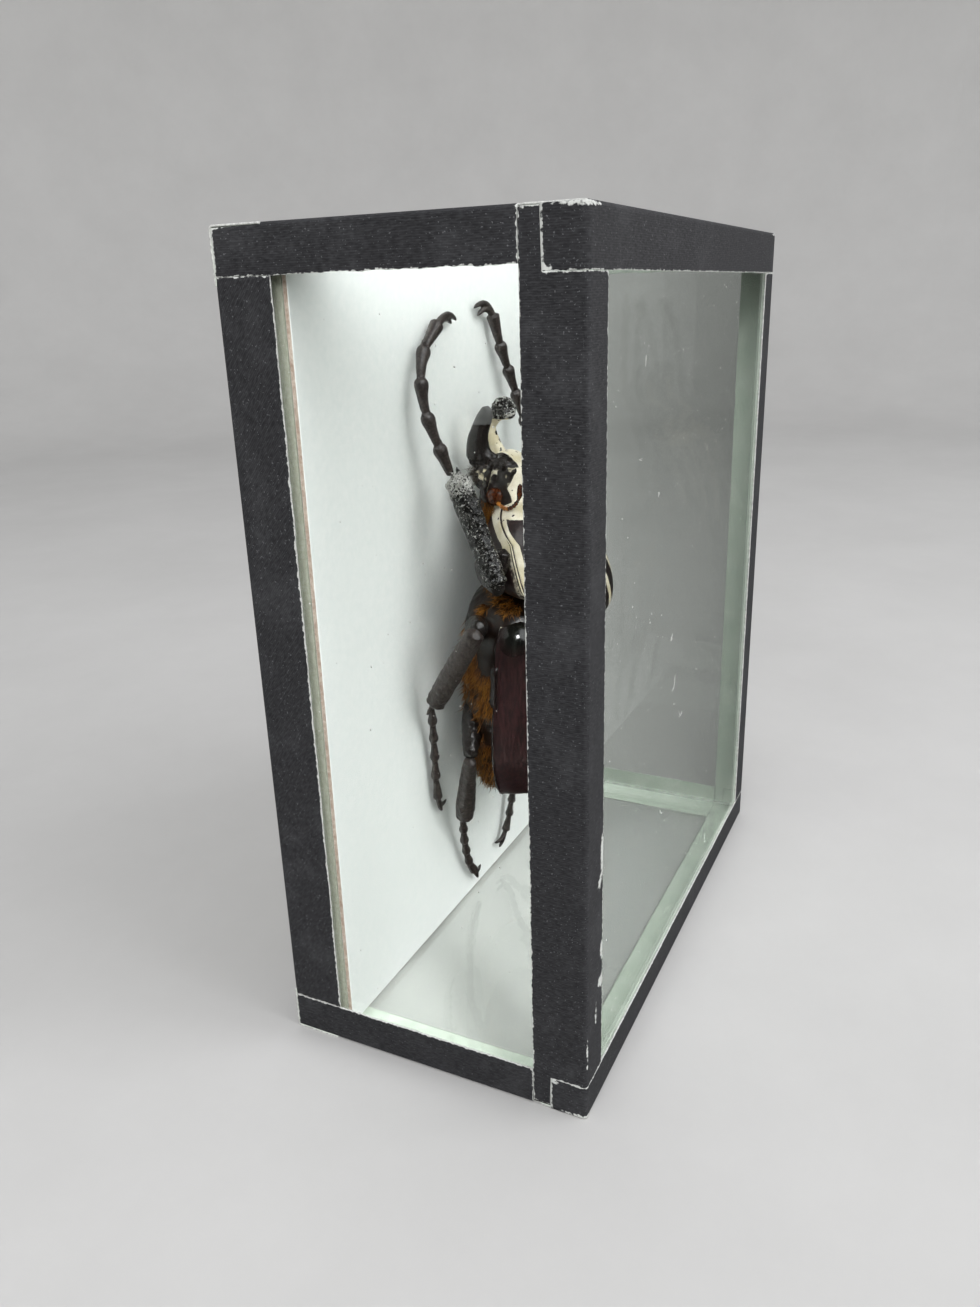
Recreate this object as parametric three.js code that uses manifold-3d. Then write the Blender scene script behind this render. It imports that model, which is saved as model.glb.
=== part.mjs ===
// Framed goliath beetle: a dried male beetle fixed to the white backboard of a small glass box.
// The twelve edges of the box are bound with black cloth tape.
// Millimetres, +Z up. The front glass faces -Y and the origin is the middle of the base.
import * as THREE from 'three';
import { mergeVertices } from 'three/addons/utils/BufferGeometryUtils.js';
import Module from 'manifold-3d';

// Outside of the case, over the tape
const CASE = { width: 124, depth: 63, height: 152 };
const GLASS = 2.4;
const TAPE = 0.3;
// The backboard: white card on a foam slab, from the card's face to the back of the case
const BOARD_DEPTH = 12.5;
const CARD = 1;
// Gaps between flat pieces that touch, and between shaped pieces that touch
const SEAM = 0.1;
const GAP = 0.3;

// How far each tape reaches onto the two faces that it binds
const REACH = {
  frontUpright: { left: { side: 10.3, front: 7.6 }, right: { side: 9.2, front: 8 } },
  backUpright: { side: 10.9, back: 8.1 },
  topSide: { side: 7.6, top: 10.8 },
  bottomSide: { left: { side: 7.8, under: 10.2 }, right: { side: 7.2, under: 9.4 } },
  topFront: { front: 8.7, top: 9.8 },
  bottomFront: { front: 7, under: 9.2 },
  topBack: { back: 9, top: 9.6 },
  bottomBack: { back: 9, under: 9.6 },
};
// The ends of the two front tapes fold round onto the side panes by this much
const FOLD = 7;
// The front uprights stop short of the base
const UPRIGHT_LIFT = 1;

// The beetle's own frame: x to its right, y to its head, z up from the face card to its back.
// Its middle stands at this height above the base of the case.
const BEETLE_HEIGHT = 75;

// How sharply the rounded body segments close at their ends
const CLOSING = 0.45;
// The rounded back, from the tips of the wing cases to their base, and the height of their lower rim
const BACK = {
  tipY: -45.2,
  baseY: 4.2,
  halfWidth: 20.3,
  taper: 0.06,
  top: 28.6,
  rimAtBase: 14.2,
  rimAtTip: 8.6,
  rimCurve: 0.45,
  baseSquareness: 5,
  tipSquareness: 2.8,
};
const ELYTRON = 1.1;
// The trunk under the wing cases runs on into the first segment. Its belly is flat and lies on the card.
const TRUNK = { reach: 3, belly: 0.4, flatness: 0.8, tuck: 0.15, waistY: -15 };
const SCUTELLUM = { baseY: -2.4, tipY: -14.5, halfWidth: 5.2, hollow: 0.7, thickness: 2.2 };
// The shield over the first segment: its hind edge runs back to a lobe in the middle
const PRONOTUM = {
  backY: 4.6,
  frontY: 25.4,
  lobe: 7.4,
  lobeWidth: 3,
  lobeCurve: 1.5,
  halfWidth: 17.4,
  taper: 0.16,
  squareness: 4,
  rim: 17.4,
  rimFall: 2.2,
  rise: 11,
  riseFall: 4,
  belly: 4.6,
  tuck: 0.35,
};
const HEAD = {
  backY: 23,
  frontY: 40,
  halfWidth: 8.2,
  taper: 0.2,
  squareness: 4,
  height: 10.4,
  fall: 2.8,
  halfDepth: 4.6,
  thin: 1.6,
};
const EYE = { x: 7.6, y: 28.3, z: 11, radius: 2.3 };
// The horn forks into two blunt prongs
const HORN = {
  rootX: 4.2,
  rootY: 28,
  rootZ: 6.8,
  tipX: 4.6,
  tipY: 45.4,
  tipZ: 7,
  radii: [3.6, 4, 3.5, 2.7, 2.3],
};
const ANTENNA = {
  path: [[-9.2, 31.8, 9.2], [-12, 32, 11.4], [-13.2, 29.6, 14.4]],
  stalk: 0.5,
  clubLength: 4.4,
  clubRadii: [0.55, 0.9, 0.7],
};

// Radii along each leg segment, from its upper joint to its lower one
const FEMUR_RADII = [1.6, 2.5, 2.7, 2.3, 1.7];
const TIBIA_RADII = {
  front: [1.6, 2, 2.2, 2.3, 1.9],
  mid: [1.5, 1.8, 1.9, 2, 1.8],
  hind: [1.3, 1.6, 1.8, 2.1, 1.9],
};
// A foot: five flared joints and a pair of hooked claws
const FOOT = { joints: 5, neck: 0.7, flare: 1.2, claw: 0.45, hook: 0.6 };

// The legs of the left side, then the paths of the feet on the right side, which lie differently
const LEFT_LEGS = {
  front: {
    hip: [-8, 12, 6.4],
    knee: [-24.2, 11, 17],
    ankle: [-20.8, 33, 6.6],
    foot: [[-20.8, 33.4, 6.2], [-22.4, 41, 4.2], [-23.4, 48, 2.8], [-20, 54.6, 2], [-13.4, 60.2, 1.7]],
    claws: [[-6, 61.4, 1.2], [-8.2, 59.8, 1.1]],
  },
  mid: {
    hip: [-8, -3, 4.6],
    knee: [-28, 3.8, 15.2],
    ankle: [-27.6, -14.6, 4],
    foot: [[-27.4, -15.2, 3.6], [-25.6, -20, 2.6], [-24.4, -27, 2], [-24, -33, 1.8], [-23.4, -38, 1.7]],
    claws: [[-21, -42.4, 1.2], [-18.6, -41, 1]],
  },
  hind: {
    hip: [-9, -17.5, 4.4],
    knee: [-23, -27.4, 9.8],
    ankle: [-16.4, -46.4, 4.2],
    foot: [[-16.2, -47, 3.8], [-14.2, -52.4, 2.8], [-12.4, -57, 2.2], [-10.4, -61.6, 1.9], [-8, -65, 1.7]],
    claws: [[-5, -69, 1.2], [-3, -66.6, 1]],
  },
};
const RIGHT_FEET = {
  front: {
    foot: [[20.8, 33.4, 6.2], [20.2, 40, 3.8], [17.6, 47, 2.6], [14, 53.6, 2], [10, 60, 1.7]],
    claws: [[3.2, 62.8, 1.2], [4.4, 60.6, 1.1]],
  },
  hind: {
    foot: [[16.2, -47, 3.8], [14.6, -52, 2.8], [13, -57, 2.2], [12, -60.8, 1.9], [10.4, -63.8, 1.7]],
    claws: [[7.4, -67.4, 1.2], [5.4, -65, 1]],
  },
};

// Fineness of the faceted solids: around and along
const BODY_GRID = [24, 14];
const EYE_GRID = [10, 8];
const LIMB_SIDES = 10;
const JOINT_SIDES = 6;
const STALK_STEPS = 6;
const TUBE_STEPS = 3;
const PLATE_STEPS = 5;
const MERGE = 1e-4;
// Share of a limb's spacing that is left for its rounded ends
const LIMB_END = 0.2;

const LOOKS = {
  glass: { color: '#cfe0d4', roughness: 0.05, metalness: 0, transparent: true, opacity: 0.2 },
  tape: { color: '#2b2a2b', roughness: 0.8, metalness: 0 },
  card: { color: '#e6eae4', roughness: 0.55, metalness: 0 },
  foam: { color: '#b3b59f', roughness: 0.95, metalness: 0 },
  cream: { color: '#d8cdb4', roughness: 0.5, metalness: 0 },
  maroon: { color: '#3a1c1e', roughness: 0.6, metalness: 0 },
  black: { color: '#1d1a18', roughness: 0.35, metalness: 0 },
  brown: { color: '#33241a', roughness: 0.55, metalness: 0 },
};

const wasm = await Module();
wasm.setup();

// A closed solid from a geometry, with shared points merged and collapsed triangles dropped
function toSolid(geometry) {
  const bare = geometry.clone();
  bare.deleteAttribute('normal');
  bare.deleteAttribute('uv');
  const merged = mergeVertices(bare, MERGE);
  const index = merged.getIndex().array;
  const triangles = [];
  for (let i = 0; i < index.length; i += 3) {
    const [a, b, c] = index.slice(i, i + 3);
    if (a !== b && b !== c && c !== a) triangles.push(a, b, c);
  }
  const vertProperties = merged.getAttribute('position').array;
  const triVerts = new Uint32Array(triangles);
  return new wasm.Manifold(new wasm.Mesh({ numProp: 3, vertProperties, triVerts }));
}

function toGeometry(solid) {
  const { vertProperties, triVerts } = solid.getMesh();
  const geometry = new THREE.BufferGeometry();
  geometry.setAttribute('position', new THREE.BufferAttribute(vertProperties, 3));
  geometry.setIndex(new THREE.BufferAttribute(triVerts, 1));
  geometry.computeVertexNormals();
  return geometry;
}

const joined = (solids) => solids.reduce((whole, solid) => whole.add(solid));
const without = (solid, cutters) => cutters.reduce((left, cutter) => left.subtract(cutter), solid);

function piece(group, name, solid, look) {
  const mesh = new THREE.Mesh(toGeometry(solid), new THREE.MeshStandardMaterial(look));
  mesh.name = name;
  group.add(mesh);
}

// A box between two limits on each axis, with its corners exactly on them
function box({ x, y, z }) {
  const geometry = new THREE.BoxGeometry();
  const position = geometry.getAttribute('position');
  const limit = (value, [low, high]) => (value < 0 ? low : high);
  for (let i = 0; i < position.count; i += 1) {
    position.setXYZ(i, limit(position.getX(i), x), limit(position.getY(i), y), limit(position.getZ(i), z));
  }
  return toSolid(geometry);
}

// Outer faces of the case, and the limits of the glass box inside the tape
const LEFT = -CASE.width / 2;
const RIGHT = CASE.width / 2;
const FRONT = -CASE.depth / 2;
const BACK_FACE = CASE.depth / 2;
const TOP = CASE.height;
const WRAP = TAPE + SEAM;
const BOX_X = [LEFT + WRAP, RIGHT - WRAP];
const BOX_Y = [FRONT + WRAP, BACK_FACE - WRAP];
const BOX_Z = [WRAP, TOP - WRAP];
const BOARD_Y = BACK_FACE - BOARD_DEPTH;

// The front pane covers the whole front. The floor and the lid butt against it.
// The side panes stand between the floor and the lid.
function addPanes(group) {
  const behindFront = [BOX_Y[0] + GLASS + SEAM, BOX_Y[1]];
  const between = [BOX_Z[0] + GLASS + SEAM, BOX_Z[1] - GLASS - SEAM];
  const panes = {
    pane_front: { x: BOX_X, y: [BOX_Y[0], BOX_Y[0] + GLASS], z: BOX_Z },
    pane_bottom: { x: BOX_X, y: behindFront, z: [BOX_Z[0], BOX_Z[0] + GLASS] },
    pane_top: { x: BOX_X, y: behindFront, z: [BOX_Z[1] - GLASS, BOX_Z[1]] },
    pane_left: { x: [BOX_X[0], BOX_X[0] + GLASS], y: behindFront, z: between },
    pane_right: { x: [BOX_X[1] - GLASS, BOX_X[1]], y: behindFront, z: between },
  };
  for (const [name, limits] of Object.entries(panes)) piece(group, name, box(limits), LOOKS.glass);
}

// The foam slab stands inside the four panes at the back, with the white card on its face.
function addBackboard(group) {
  const inset = GLASS + GAP;
  const x = [BOX_X[0] + inset, BOX_X[1] - inset];
  const z = [BOX_Z[0] + inset, BOX_Z[1] - inset];
  piece(group, 'face_card', box({ x, y: [BOARD_Y, BOARD_Y + CARD], z }), LOOKS.card);
  piece(group, 'backboard', box({ x, y: [BOARD_Y + CARD + SEAM, BOX_Y[1]], z }), LOOKS.foam);
}

// Limits that run on past the case, for cutters
const FAR = 2 * CASE.height;
const below = (limit) => [-FAR, limit];
const above = (limit) => [limit, FAR];
const ALL = [-FAR, FAR];

// Across the case: a flap's span from the left or right edge, and all that lies inside the tape there
const spanFrom = (side, reach) => (side === 'left' ? [LEFT, LEFT + reach] : [RIGHT - reach, RIGHT]);
const insideOf = (side) => (side === 'left' ? above(LEFT + TAPE) : below(RIGHT - TAPE));

// Each tape is a block at an edge of the case, cut away to the thickness of the tape on its two faces.
// Front uprights lie under the folded ends of the front tapes, but a tongue beside each fold runs on.
function frontUpright(side) {
  const { side: reachSide, front } = REACH.frontUpright[side];
  const z = [UPRIGHT_LIFT, TOP - WRAP];
  const fold = below(FRONT + FOLD + SEAM);
  return without(box({ x: spanFrom(side, front), y: [FRONT, FRONT + reachSide], z }), [
    box({ x: insideOf(side), y: above(FRONT + TAPE), z: ALL }),
    box({ x: ALL, y: fold, z: above(TOP - REACH.topFront.front - SEAM) }),
    box({ x: ALL, y: fold, z: below(REACH.bottomFront.front + SEAM) }),
  ]);
}

function backUpright(side) {
  const { side: reachSide, back } = REACH.backUpright;
  const z = [REACH.bottomSide[side].side + SEAM, TOP - REACH.topSide.side - SEAM];
  return without(box({ x: spanFrom(side, back), y: [BACK_FACE - reachSide, BACK_FACE], z }), [
    box({ x: insideOf(side), y: below(BACK_FACE - TAPE), z: ALL }),
    box({ x: ALL, y: above(BACK_FACE - WRAP), z: above(TOP - REACH.topBack.back - SEAM) }),
    box({ x: ALL, y: above(BACK_FACE - WRAP), z: below(REACH.bottomBack.back + SEAM) }),
  ]);
}

// Side tapes of the lid and the floor run between the front uprights and the back tapes.
function topSide(side) {
  const { side: reachSide, top } = REACH.topSide;
  const start = FRONT + Math.max(REACH.frontUpright[side].side, REACH.topFront.top) + SEAM;
  const z = [TOP - reachSide, TOP];
  return without(box({ x: spanFrom(side, top), y: [start, BACK_FACE - WRAP], z }), [
    box({ x: insideOf(side), y: ALL, z: below(TOP - TAPE) }),
    box({ x: ALL, y: above(BACK_FACE - REACH.topBack.top - SEAM), z: above(TOP - WRAP) }),
  ]);
}

function bottomSide(side) {
  const { side: reachSide, under } = REACH.bottomSide[side];
  const start = FRONT + Math.max(REACH.frontUpright[side].side, REACH.bottomFront.under) + SEAM;
  const z = [0, reachSide];
  return without(box({ x: spanFrom(side, under), y: [start, BACK_FACE - WRAP], z }), [
    box({ x: insideOf(side), y: ALL, z: above(TAPE) }),
    box({ x: ALL, y: above(BACK_FACE - REACH.bottomBack.under - SEAM), z: below(WRAP) }),
  ]);
}

// Front tapes run the whole width, and their ends fold round onto the sides.
function frontTape(reachLevel, z, inside, pastLevel) {
  const x = [LEFT + TAPE, RIGHT - TAPE];
  return without(box({ x: [LEFT, RIGHT], y: [FRONT, FRONT + reachLevel], z }), [
    box({ x, y: above(FRONT + TAPE), z: inside }),
    box({ x: below(LEFT + WRAP), y: above(FRONT + FOLD), z: pastLevel }),
    box({ x: above(RIGHT - WRAP), y: above(FRONT + FOLD), z: pastLevel }),
  ]);
}

function backTape(reachLevel, z, inside) {
  const block = box({ x: [LEFT, RIGHT], y: [BACK_FACE - reachLevel, BACK_FACE], z });
  return block.subtract(box({ x: ALL, y: below(BACK_FACE - TAPE), z: inside }));
}

function addTape(group) {
  const { topFront, bottomFront, topBack, bottomBack } = REACH;
  const underLid = below(TOP - TAPE);
  const overFloor = above(TAPE);
  const strips = {
    tape_top_front: frontTape(topFront.top, [TOP - topFront.front, TOP], underLid, below(TOP - WRAP)),
    tape_bottom_front: frontTape(bottomFront.under, [0, bottomFront.front], overFloor, above(WRAP)),
    tape_top_back: backTape(topBack.top, [TOP - topBack.back, TOP], underLid),
    tape_bottom_back: backTape(bottomBack.under, [0, bottomBack.back], overFloor),
  };
  for (const side of ['left', 'right']) {
    strips[`tape_front_${side}`] = frontUpright(side);
    strips[`tape_back_${side}`] = backUpright(side);
    strips[`tape_top_${side}`] = topSide(side);
    strips[`tape_bottom_${side}`] = bottomSide(side);
  }
  for (const [name, solid] of Object.entries(strips)) piece(group, name, solid, LOOKS.tape);
}

// A unit sphere whose poles lie on y, with each point moved into the shape of a body segment
function bodySolid(shape) {
  const geometry = new THREE.SphereGeometry(1, ...BODY_GRID);
  const position = geometry.getAttribute('position');
  const point = new THREE.Vector3();
  for (let i = 0; i < position.count; i += 1) {
    point.fromBufferAttribute(position, i);
    const ring = Math.hypot(point.x, point.z);
    const turn = ring > MERGE ? { across: point.x / ring, up: point.z / ring } : { across: 0, up: 0 };
    const { x, y, z } = shape({ along: point.y, ...turn });
    position.setXYZ(i, x, y, z);
  }
  return toSolid(geometry);
}

// How full a segment is at a place along it: one in the middle, falling to nothing at its ends
const fullness = (along, squareness) => Math.max(0, 1 - Math.abs(along) ** squareness) ** CLOSING;

// The outline of the back, drawn in by an inset, reaching past its base, and hanging down below its rim
function backShape(inset, reach, hang) {
  const tipY = BACK.tipY + inset;
  const baseY = BACK.baseY + reach;
  return ({ along, across, up }) => {
    const full = fullness(along, along > 0 ? BACK.baseSquareness : BACK.tipSquareness);
    const share = (1 + along) / 2;
    const rim = BACK.rimAtTip + (BACK.rimAtBase - BACK.rimAtTip) * share ** BACK.rimCurve;
    const x = across * (BACK.halfWidth * (1 + BACK.taper * along) - inset) * full;
    const y = tipY + (baseY - tipY) * share;
    if (up >= 0) return { x, y, z: rim + (BACK.top - rim - inset) * up * full };
    const drop = hang(rim) * (-up) ** TRUNK.flatness * Math.sqrt(full);
    return { x: x * (1 + TRUNK.tuck * up), y, z: rim - drop };
  };
}

// A flat triangle with its point to the tail, set into the base of the wing cases
function scutellumSolid(grow) {
  const { baseY, tipY, halfWidth, hollow, thickness } = SCUTELLUM;
  const outline = new THREE.Shape();
  const wide = halfWidth + grow;
  const waistY = (baseY + tipY) / 2;
  outline.moveTo(-wide, baseY + grow);
  outline.quadraticCurveTo(-wide * hollow, waistY, 0, tipY - 2 * grow);
  outline.quadraticCurveTo(wide * hollow, waistY, wide, baseY + grow);
  outline.closePath();
  const options = { depth: thickness + 2 * grow, bevelEnabled: false, curveSegments: PLATE_STEPS };
  const geometry = new THREE.ExtrudeGeometry(outline, options);
  geometry.translate(0, 0, BACK.top - thickness - grow);
  return toSolid(geometry);
}

// Two wing cases over the trunk: thin shells, open below and at the base, that meet down the middle
function addBack(group, shield, legCutters) {
  const outer = bodySolid(backShape(0, 0, () => 0));
  const hollow = bodySolid(backShape(ELYTRON, TRUNK.reach, () => ELYTRON));
  const shell = without(outer, [hollow, scutellumSolid(GAP), shield]);
  piece(group, 'elytron_left', shell.intersect(box({ x: below(-GAP / 2), y: ALL, z: ALL })), LOOKS.maroon);
  piece(group, 'elytron_right', shell.intersect(box({ x: above(GAP / 2), y: ALL, z: ALL })), LOOKS.maroon);
  piece(group, 'scutellum', scutellumSolid(0).subtract(shield), LOOKS.cream);

  const trunk = bodySolid(backShape(ELYTRON + 2 * GAP, TRUNK.reach - GAP, (rim) => rim - TRUNK.belly));
  const cleared = without(trunk, [scutellumSolid(GAP), shield, ...legCutters]);
  const front = box({ x: ALL, y: above(TRUNK.waistY + GAP / 2), z: ALL });
  const rear = box({ x: ALL, y: below(TRUNK.waistY - GAP / 2), z: ALL });
  piece(group, 'thorax', cleared.intersect(front), LOOKS.brown);
  piece(group, 'abdomen', cleared.intersect(rear), LOOKS.brown);
}

// The shield, grown on all sides where it is used to cut its neighbours
function pronotumShape(grow) {
  const { backY, frontY, halfWidth, taper, rim, rimFall, rise, riseFall, belly, tuck } = PRONOTUM;
  const halfLength = (frontY - backY) / 2 + grow;
  return ({ along, across, up }) => {
    const full = fullness(along, PRONOTUM.squareness);
    const edge = rim - rimFall * along;
    const x = across * (halfWidth * (1 - taper * along) + grow) * full;
    const y = (backY + frontY) / 2 + halfLength * along;
    const drop = (edge - belly + grow) * Math.sqrt(full);
    if (up < 0) return { x: x * (1 + tuck * up), y, z: edge + drop * up };
    const lobe = PRONOTUM.lobe * (1 - Math.abs(across) ** PRONOTUM.lobeWidth);
    const back = lobe * ((1 - along) / 2) ** PRONOTUM.lobeCurve;
    return { x, y: y - back, z: edge + (rise - riseFall * along + grow) * up * full };
  };
}

function headShape({ along, across, up }) {
  const { backY, frontY, halfWidth, taper, squareness, height, fall, halfDepth, thin } = HEAD;
  const full = fullness(along, squareness);
  return {
    x: across * halfWidth * (1 - taper * along) * full,
    y: (backY + frontY) / 2 + ((frontY - backY) / 2) * along,
    z: height - fall * along + (halfDepth - thin * along) * up * full,
  };
}

const vector = (coordinates) => new THREE.Vector3(...coordinates);
const mirrored = ([x, y, z]) => [-x, y, z];

// A rounded segment turned about the line between two joints, with radii spread evenly along it
function limb(from, to, radii, grow = 0, sides = LIMB_SIDES) {
  const start = vector(from);
  const line = vector(to).sub(start);
  const length = line.length();
  const profile = radii.map((radius, i) => {
    const along = (i + LIMB_END) / (radii.length - 1 + 2 * LIMB_END);
    return new THREE.Vector2(radius + grow, along * length);
  });
  profile.unshift(new THREE.Vector2(0, -grow));
  profile.push(new THREE.Vector2(0, length + grow));
  const geometry = new THREE.LatheGeometry(profile, sides);
  const toLine = new THREE.Quaternion().setFromUnitVectors(new THREE.Vector3(0, 1, 0), line.normalize());
  geometry.applyQuaternion(toLine);
  geometry.translate(start.x, start.y, start.z);
  return toSolid(geometry);
}

// A round tube along a curve
function tube(curve, radius, steps) {
  const section = new THREE.Shape();
  section.absarc(0, 0, radius, 0, Math.PI * 2);
  const options = { extrudePath: curve, steps, curveSegments: TUBE_STEPS, bevelEnabled: false };
  return toSolid(new THREE.ExtrudeGeometry(section, options));
}

function eye(side) {
  const geometry = new THREE.SphereGeometry(EYE.radius, ...EYE_GRID);
  geometry.translate(side * EYE.x, EYE.y, EYE.z);
  return toSolid(geometry);
}

function prong(side) {
  const { rootX, rootY, rootZ, tipX, tipY, tipZ, radii } = HORN;
  return limb([side * rootX, rootY, rootZ], [side * tipX, tipY, tipZ], radii);
}

function antenna(mirror) {
  const { path, stalk, clubLength, clubRadii } = ANTENNA;
  const curve = new THREE.QuadraticBezierCurve3(...path.map((point) => vector(mirror(point))));
  const end = curve.getPoint(1);
  const onward = curve.getTangent(1);
  const start = end.clone().addScaledVector(onward, -stalk);
  const tip = end.clone().addScaledVector(onward, clubLength);
  const club = limb(start.toArray(), tip.toArray(), clubRadii, 0, JOINT_SIDES);
  return tube(curve, stalk, STALK_STEPS).add(club);
}

function addHead(group, shield) {
  const parts = [bodySolid(headShape)];
  for (const side of [-1, 1]) parts.push(eye(side), prong(side));
  piece(group, 'head', joined(parts).subtract(shield), LOOKS.cream);
  piece(group, 'antenna_left', antenna((point) => point), LOOKS.black);
  piece(group, 'antenna_right', antenna(mirrored), LOOKS.black);
}

// Flared joints along the foot, and two claws that hook from its end
function tarsus({ foot, claws }) {
  const curve = new THREE.CatmullRomCurve3(foot.map(vector));
  const parts = [];
  for (let i = 0; i < FOOT.joints; i += 1) {
    const from = curve.getPointAt(i / FOOT.joints);
    const to = curve.getPointAt((i + 1) / FOOT.joints);
    const reach = to.clone().addScaledVector(curve.getTangentAt((i + 1) / FOOT.joints), FOOT.neck);
    const last = i === FOOT.joints - 1 ? to : reach;
    const middle = (FOOT.neck + FOOT.flare) / 2;
    parts.push(limb(from.toArray(), last.toArray(), [FOOT.neck, middle, FOOT.flare], 0, JOINT_SIDES));
  }
  const end = curve.getPointAt(1);
  const onward = curve.getTangentAt(1);
  const root = end.clone().addScaledVector(onward, -FOOT.flare);
  for (const claw of claws) {
    const tip = vector(claw);
    const bend = end.clone().addScaledVector(onward, end.distanceTo(tip) * FOOT.hook);
    parts.push(tube(new THREE.QuadraticBezierCurve3(root, bend, tip), FOOT.claw, STALK_STEPS));
  }
  return joined(parts);
}

function allLegs() {
  const legs = [];
  for (const [place, leg] of Object.entries(LEFT_LEGS)) {
    legs.push({ name: `${place}_left`, place, ...leg });
    const paths = RIGHT_FEET[place] ?? { foot: leg.foot.map(mirrored), claws: leg.claws.map(mirrored) };
    const joints = { hip: mirrored(leg.hip), knee: mirrored(leg.knee), ankle: mirrored(leg.ankle) };
    legs.push({ name: `${place}_right`, place, ...joints, ...paths });
  }
  return legs;
}

const femur = (leg, grow = 0) => limb(leg.hip, leg.knee, FEMUR_RADII, grow);
const tibia = (leg, grow = 0) => limb(leg.knee, leg.ankle, TIBIA_RADII[leg.place], grow);

// Each segment is hollowed at its upper end to take the rounded end of the one before it.
function addLegs(group, legs) {
  for (const leg of legs) {
    piece(group, `femur_${leg.name}`, femur(leg), LOOKS.black);
    piece(group, `tibia_${leg.name}`, tibia(leg).subtract(femur(leg, GAP)), LOOKS.black);
    piece(group, `tarsus_${leg.name}`, tarsus(leg).subtract(tibia(leg, GAP)), LOOKS.black);
  }
}

function beetle() {
  const group = new THREE.Group();
  const legs = allLegs();
  const legCutters = legs.map((leg) => femur(leg, GAP));
  const shield = bodySolid(pronotumShape(GAP));
  addHead(group, shield);
  piece(group, 'pronotum', without(bodySolid(pronotumShape(0)), legCutters), LOOKS.cream);
  addBack(group, shield, legCutters);
  addLegs(group, legs);
  group.rotation.x = Math.PI / 2;
  group.position.set(0, BOARD_Y, BEETLE_HEIGHT);
  return group;
}

const model = new THREE.Group();
addPanes(model);
addBackboard(model);
addTape(model);
model.add(beetle());

export default model;
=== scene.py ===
"""Looks of a framed goliath beetle.

A dried beetle is fixed, head up, to the white board of a small glass box.
The edges of the box are bound with black cloth tape.
Sizes are millimetres, turned into metres where a mesh is made.
"""
import itertools
import logging
import math
from dataclasses import dataclass, field
from enum import Enum
from functools import lru_cache, partial
from typing import Any, Callable, ClassVar, Sequence

import bpy
import numpy as np
from bpy.types import Material, Modifier, Node, NodeSocket, NodeTree, Object
from mathutils import Matrix, Vector


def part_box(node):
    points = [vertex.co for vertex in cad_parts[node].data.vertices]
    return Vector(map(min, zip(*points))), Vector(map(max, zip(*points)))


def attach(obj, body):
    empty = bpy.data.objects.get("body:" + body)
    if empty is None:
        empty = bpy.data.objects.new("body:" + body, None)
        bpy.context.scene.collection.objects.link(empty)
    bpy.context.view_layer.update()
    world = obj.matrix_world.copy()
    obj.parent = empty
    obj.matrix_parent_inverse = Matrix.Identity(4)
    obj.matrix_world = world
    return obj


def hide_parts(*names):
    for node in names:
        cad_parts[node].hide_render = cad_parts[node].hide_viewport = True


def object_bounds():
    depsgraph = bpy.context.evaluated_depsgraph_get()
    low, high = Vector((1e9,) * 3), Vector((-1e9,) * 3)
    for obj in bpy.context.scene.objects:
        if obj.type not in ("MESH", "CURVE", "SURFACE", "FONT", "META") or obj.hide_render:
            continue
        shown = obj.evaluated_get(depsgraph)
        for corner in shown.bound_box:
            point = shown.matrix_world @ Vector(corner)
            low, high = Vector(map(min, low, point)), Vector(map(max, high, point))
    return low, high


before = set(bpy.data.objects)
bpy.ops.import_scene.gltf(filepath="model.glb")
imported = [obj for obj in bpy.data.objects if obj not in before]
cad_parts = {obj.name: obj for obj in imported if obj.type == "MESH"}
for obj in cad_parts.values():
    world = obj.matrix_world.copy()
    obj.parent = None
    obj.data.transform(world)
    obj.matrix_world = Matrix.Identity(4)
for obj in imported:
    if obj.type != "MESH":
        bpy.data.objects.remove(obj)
CAD_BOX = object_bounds()

LOG = logging.getLogger("framed_beetle")
MM = 0.001
BODY = "root"

# Outer faces of the case, and the face of the white card, read from the frame
LEFT, FRONT, BASE = (value / MM for value in CAD_BOX[0])
RIGHT, BACK, TOP = (value / MM for value in CAD_BOX[1])
CARD_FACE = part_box("face_card")[0].y / MM
# Height of the beetle's middle above the base
BEETLE_HEIGHT = 75.0

Array = np.ndarray
Pair = tuple[float, float]
Place = tuple[float, float, float]
AddNode = Callable[..., Node]


class Slot(Enum):
    """Material slots of the record; the board's loop names two of them, but no piece is given a slot."""

    GLASS = "glass"
    TAPE = "tape"
    CARD = "card"
    FOAM = "foam"
    CREAM = "cream_shell"
    WING = "wing_case"
    BLACK = "black_shell"
    TRUNK = "trunk"


class Side(Enum):
    """Left or right of the beetle, as the sign of x."""

    LEFT = -1
    RIGHT = 1

    @property
    def word(self) -> str:
        """The side's name in lower case."""
        return self.name.lower()

    def of(self, place: Place) -> Place:
        """A place given for the left, brought to this side."""
        return (-self.value * place[0], place[1], place[2])


def linear(colour: str) -> tuple[float, float, float, float]:
    """Turn an sRGB hex colour into linear light.

    Args:
        colour: The colour as #rrggbb.

    Returns:
        Red, green, blue and an alpha of one.
    """
    parts = [int(colour[i:i + 2], 16) / 255 for i in (1, 3, 5)]
    red, green, blue = (p / 12.92 if p <= 0.04045 else ((p + 0.055) / 1.055) ** 2.4 for p in parts)
    return (red, green, blue, 1.0)


def per_mm(size: float) -> float:
    """Texture scale at which one cell of a pattern is this many millimetres wide."""
    return 1.0 / (size * MM)


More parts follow.
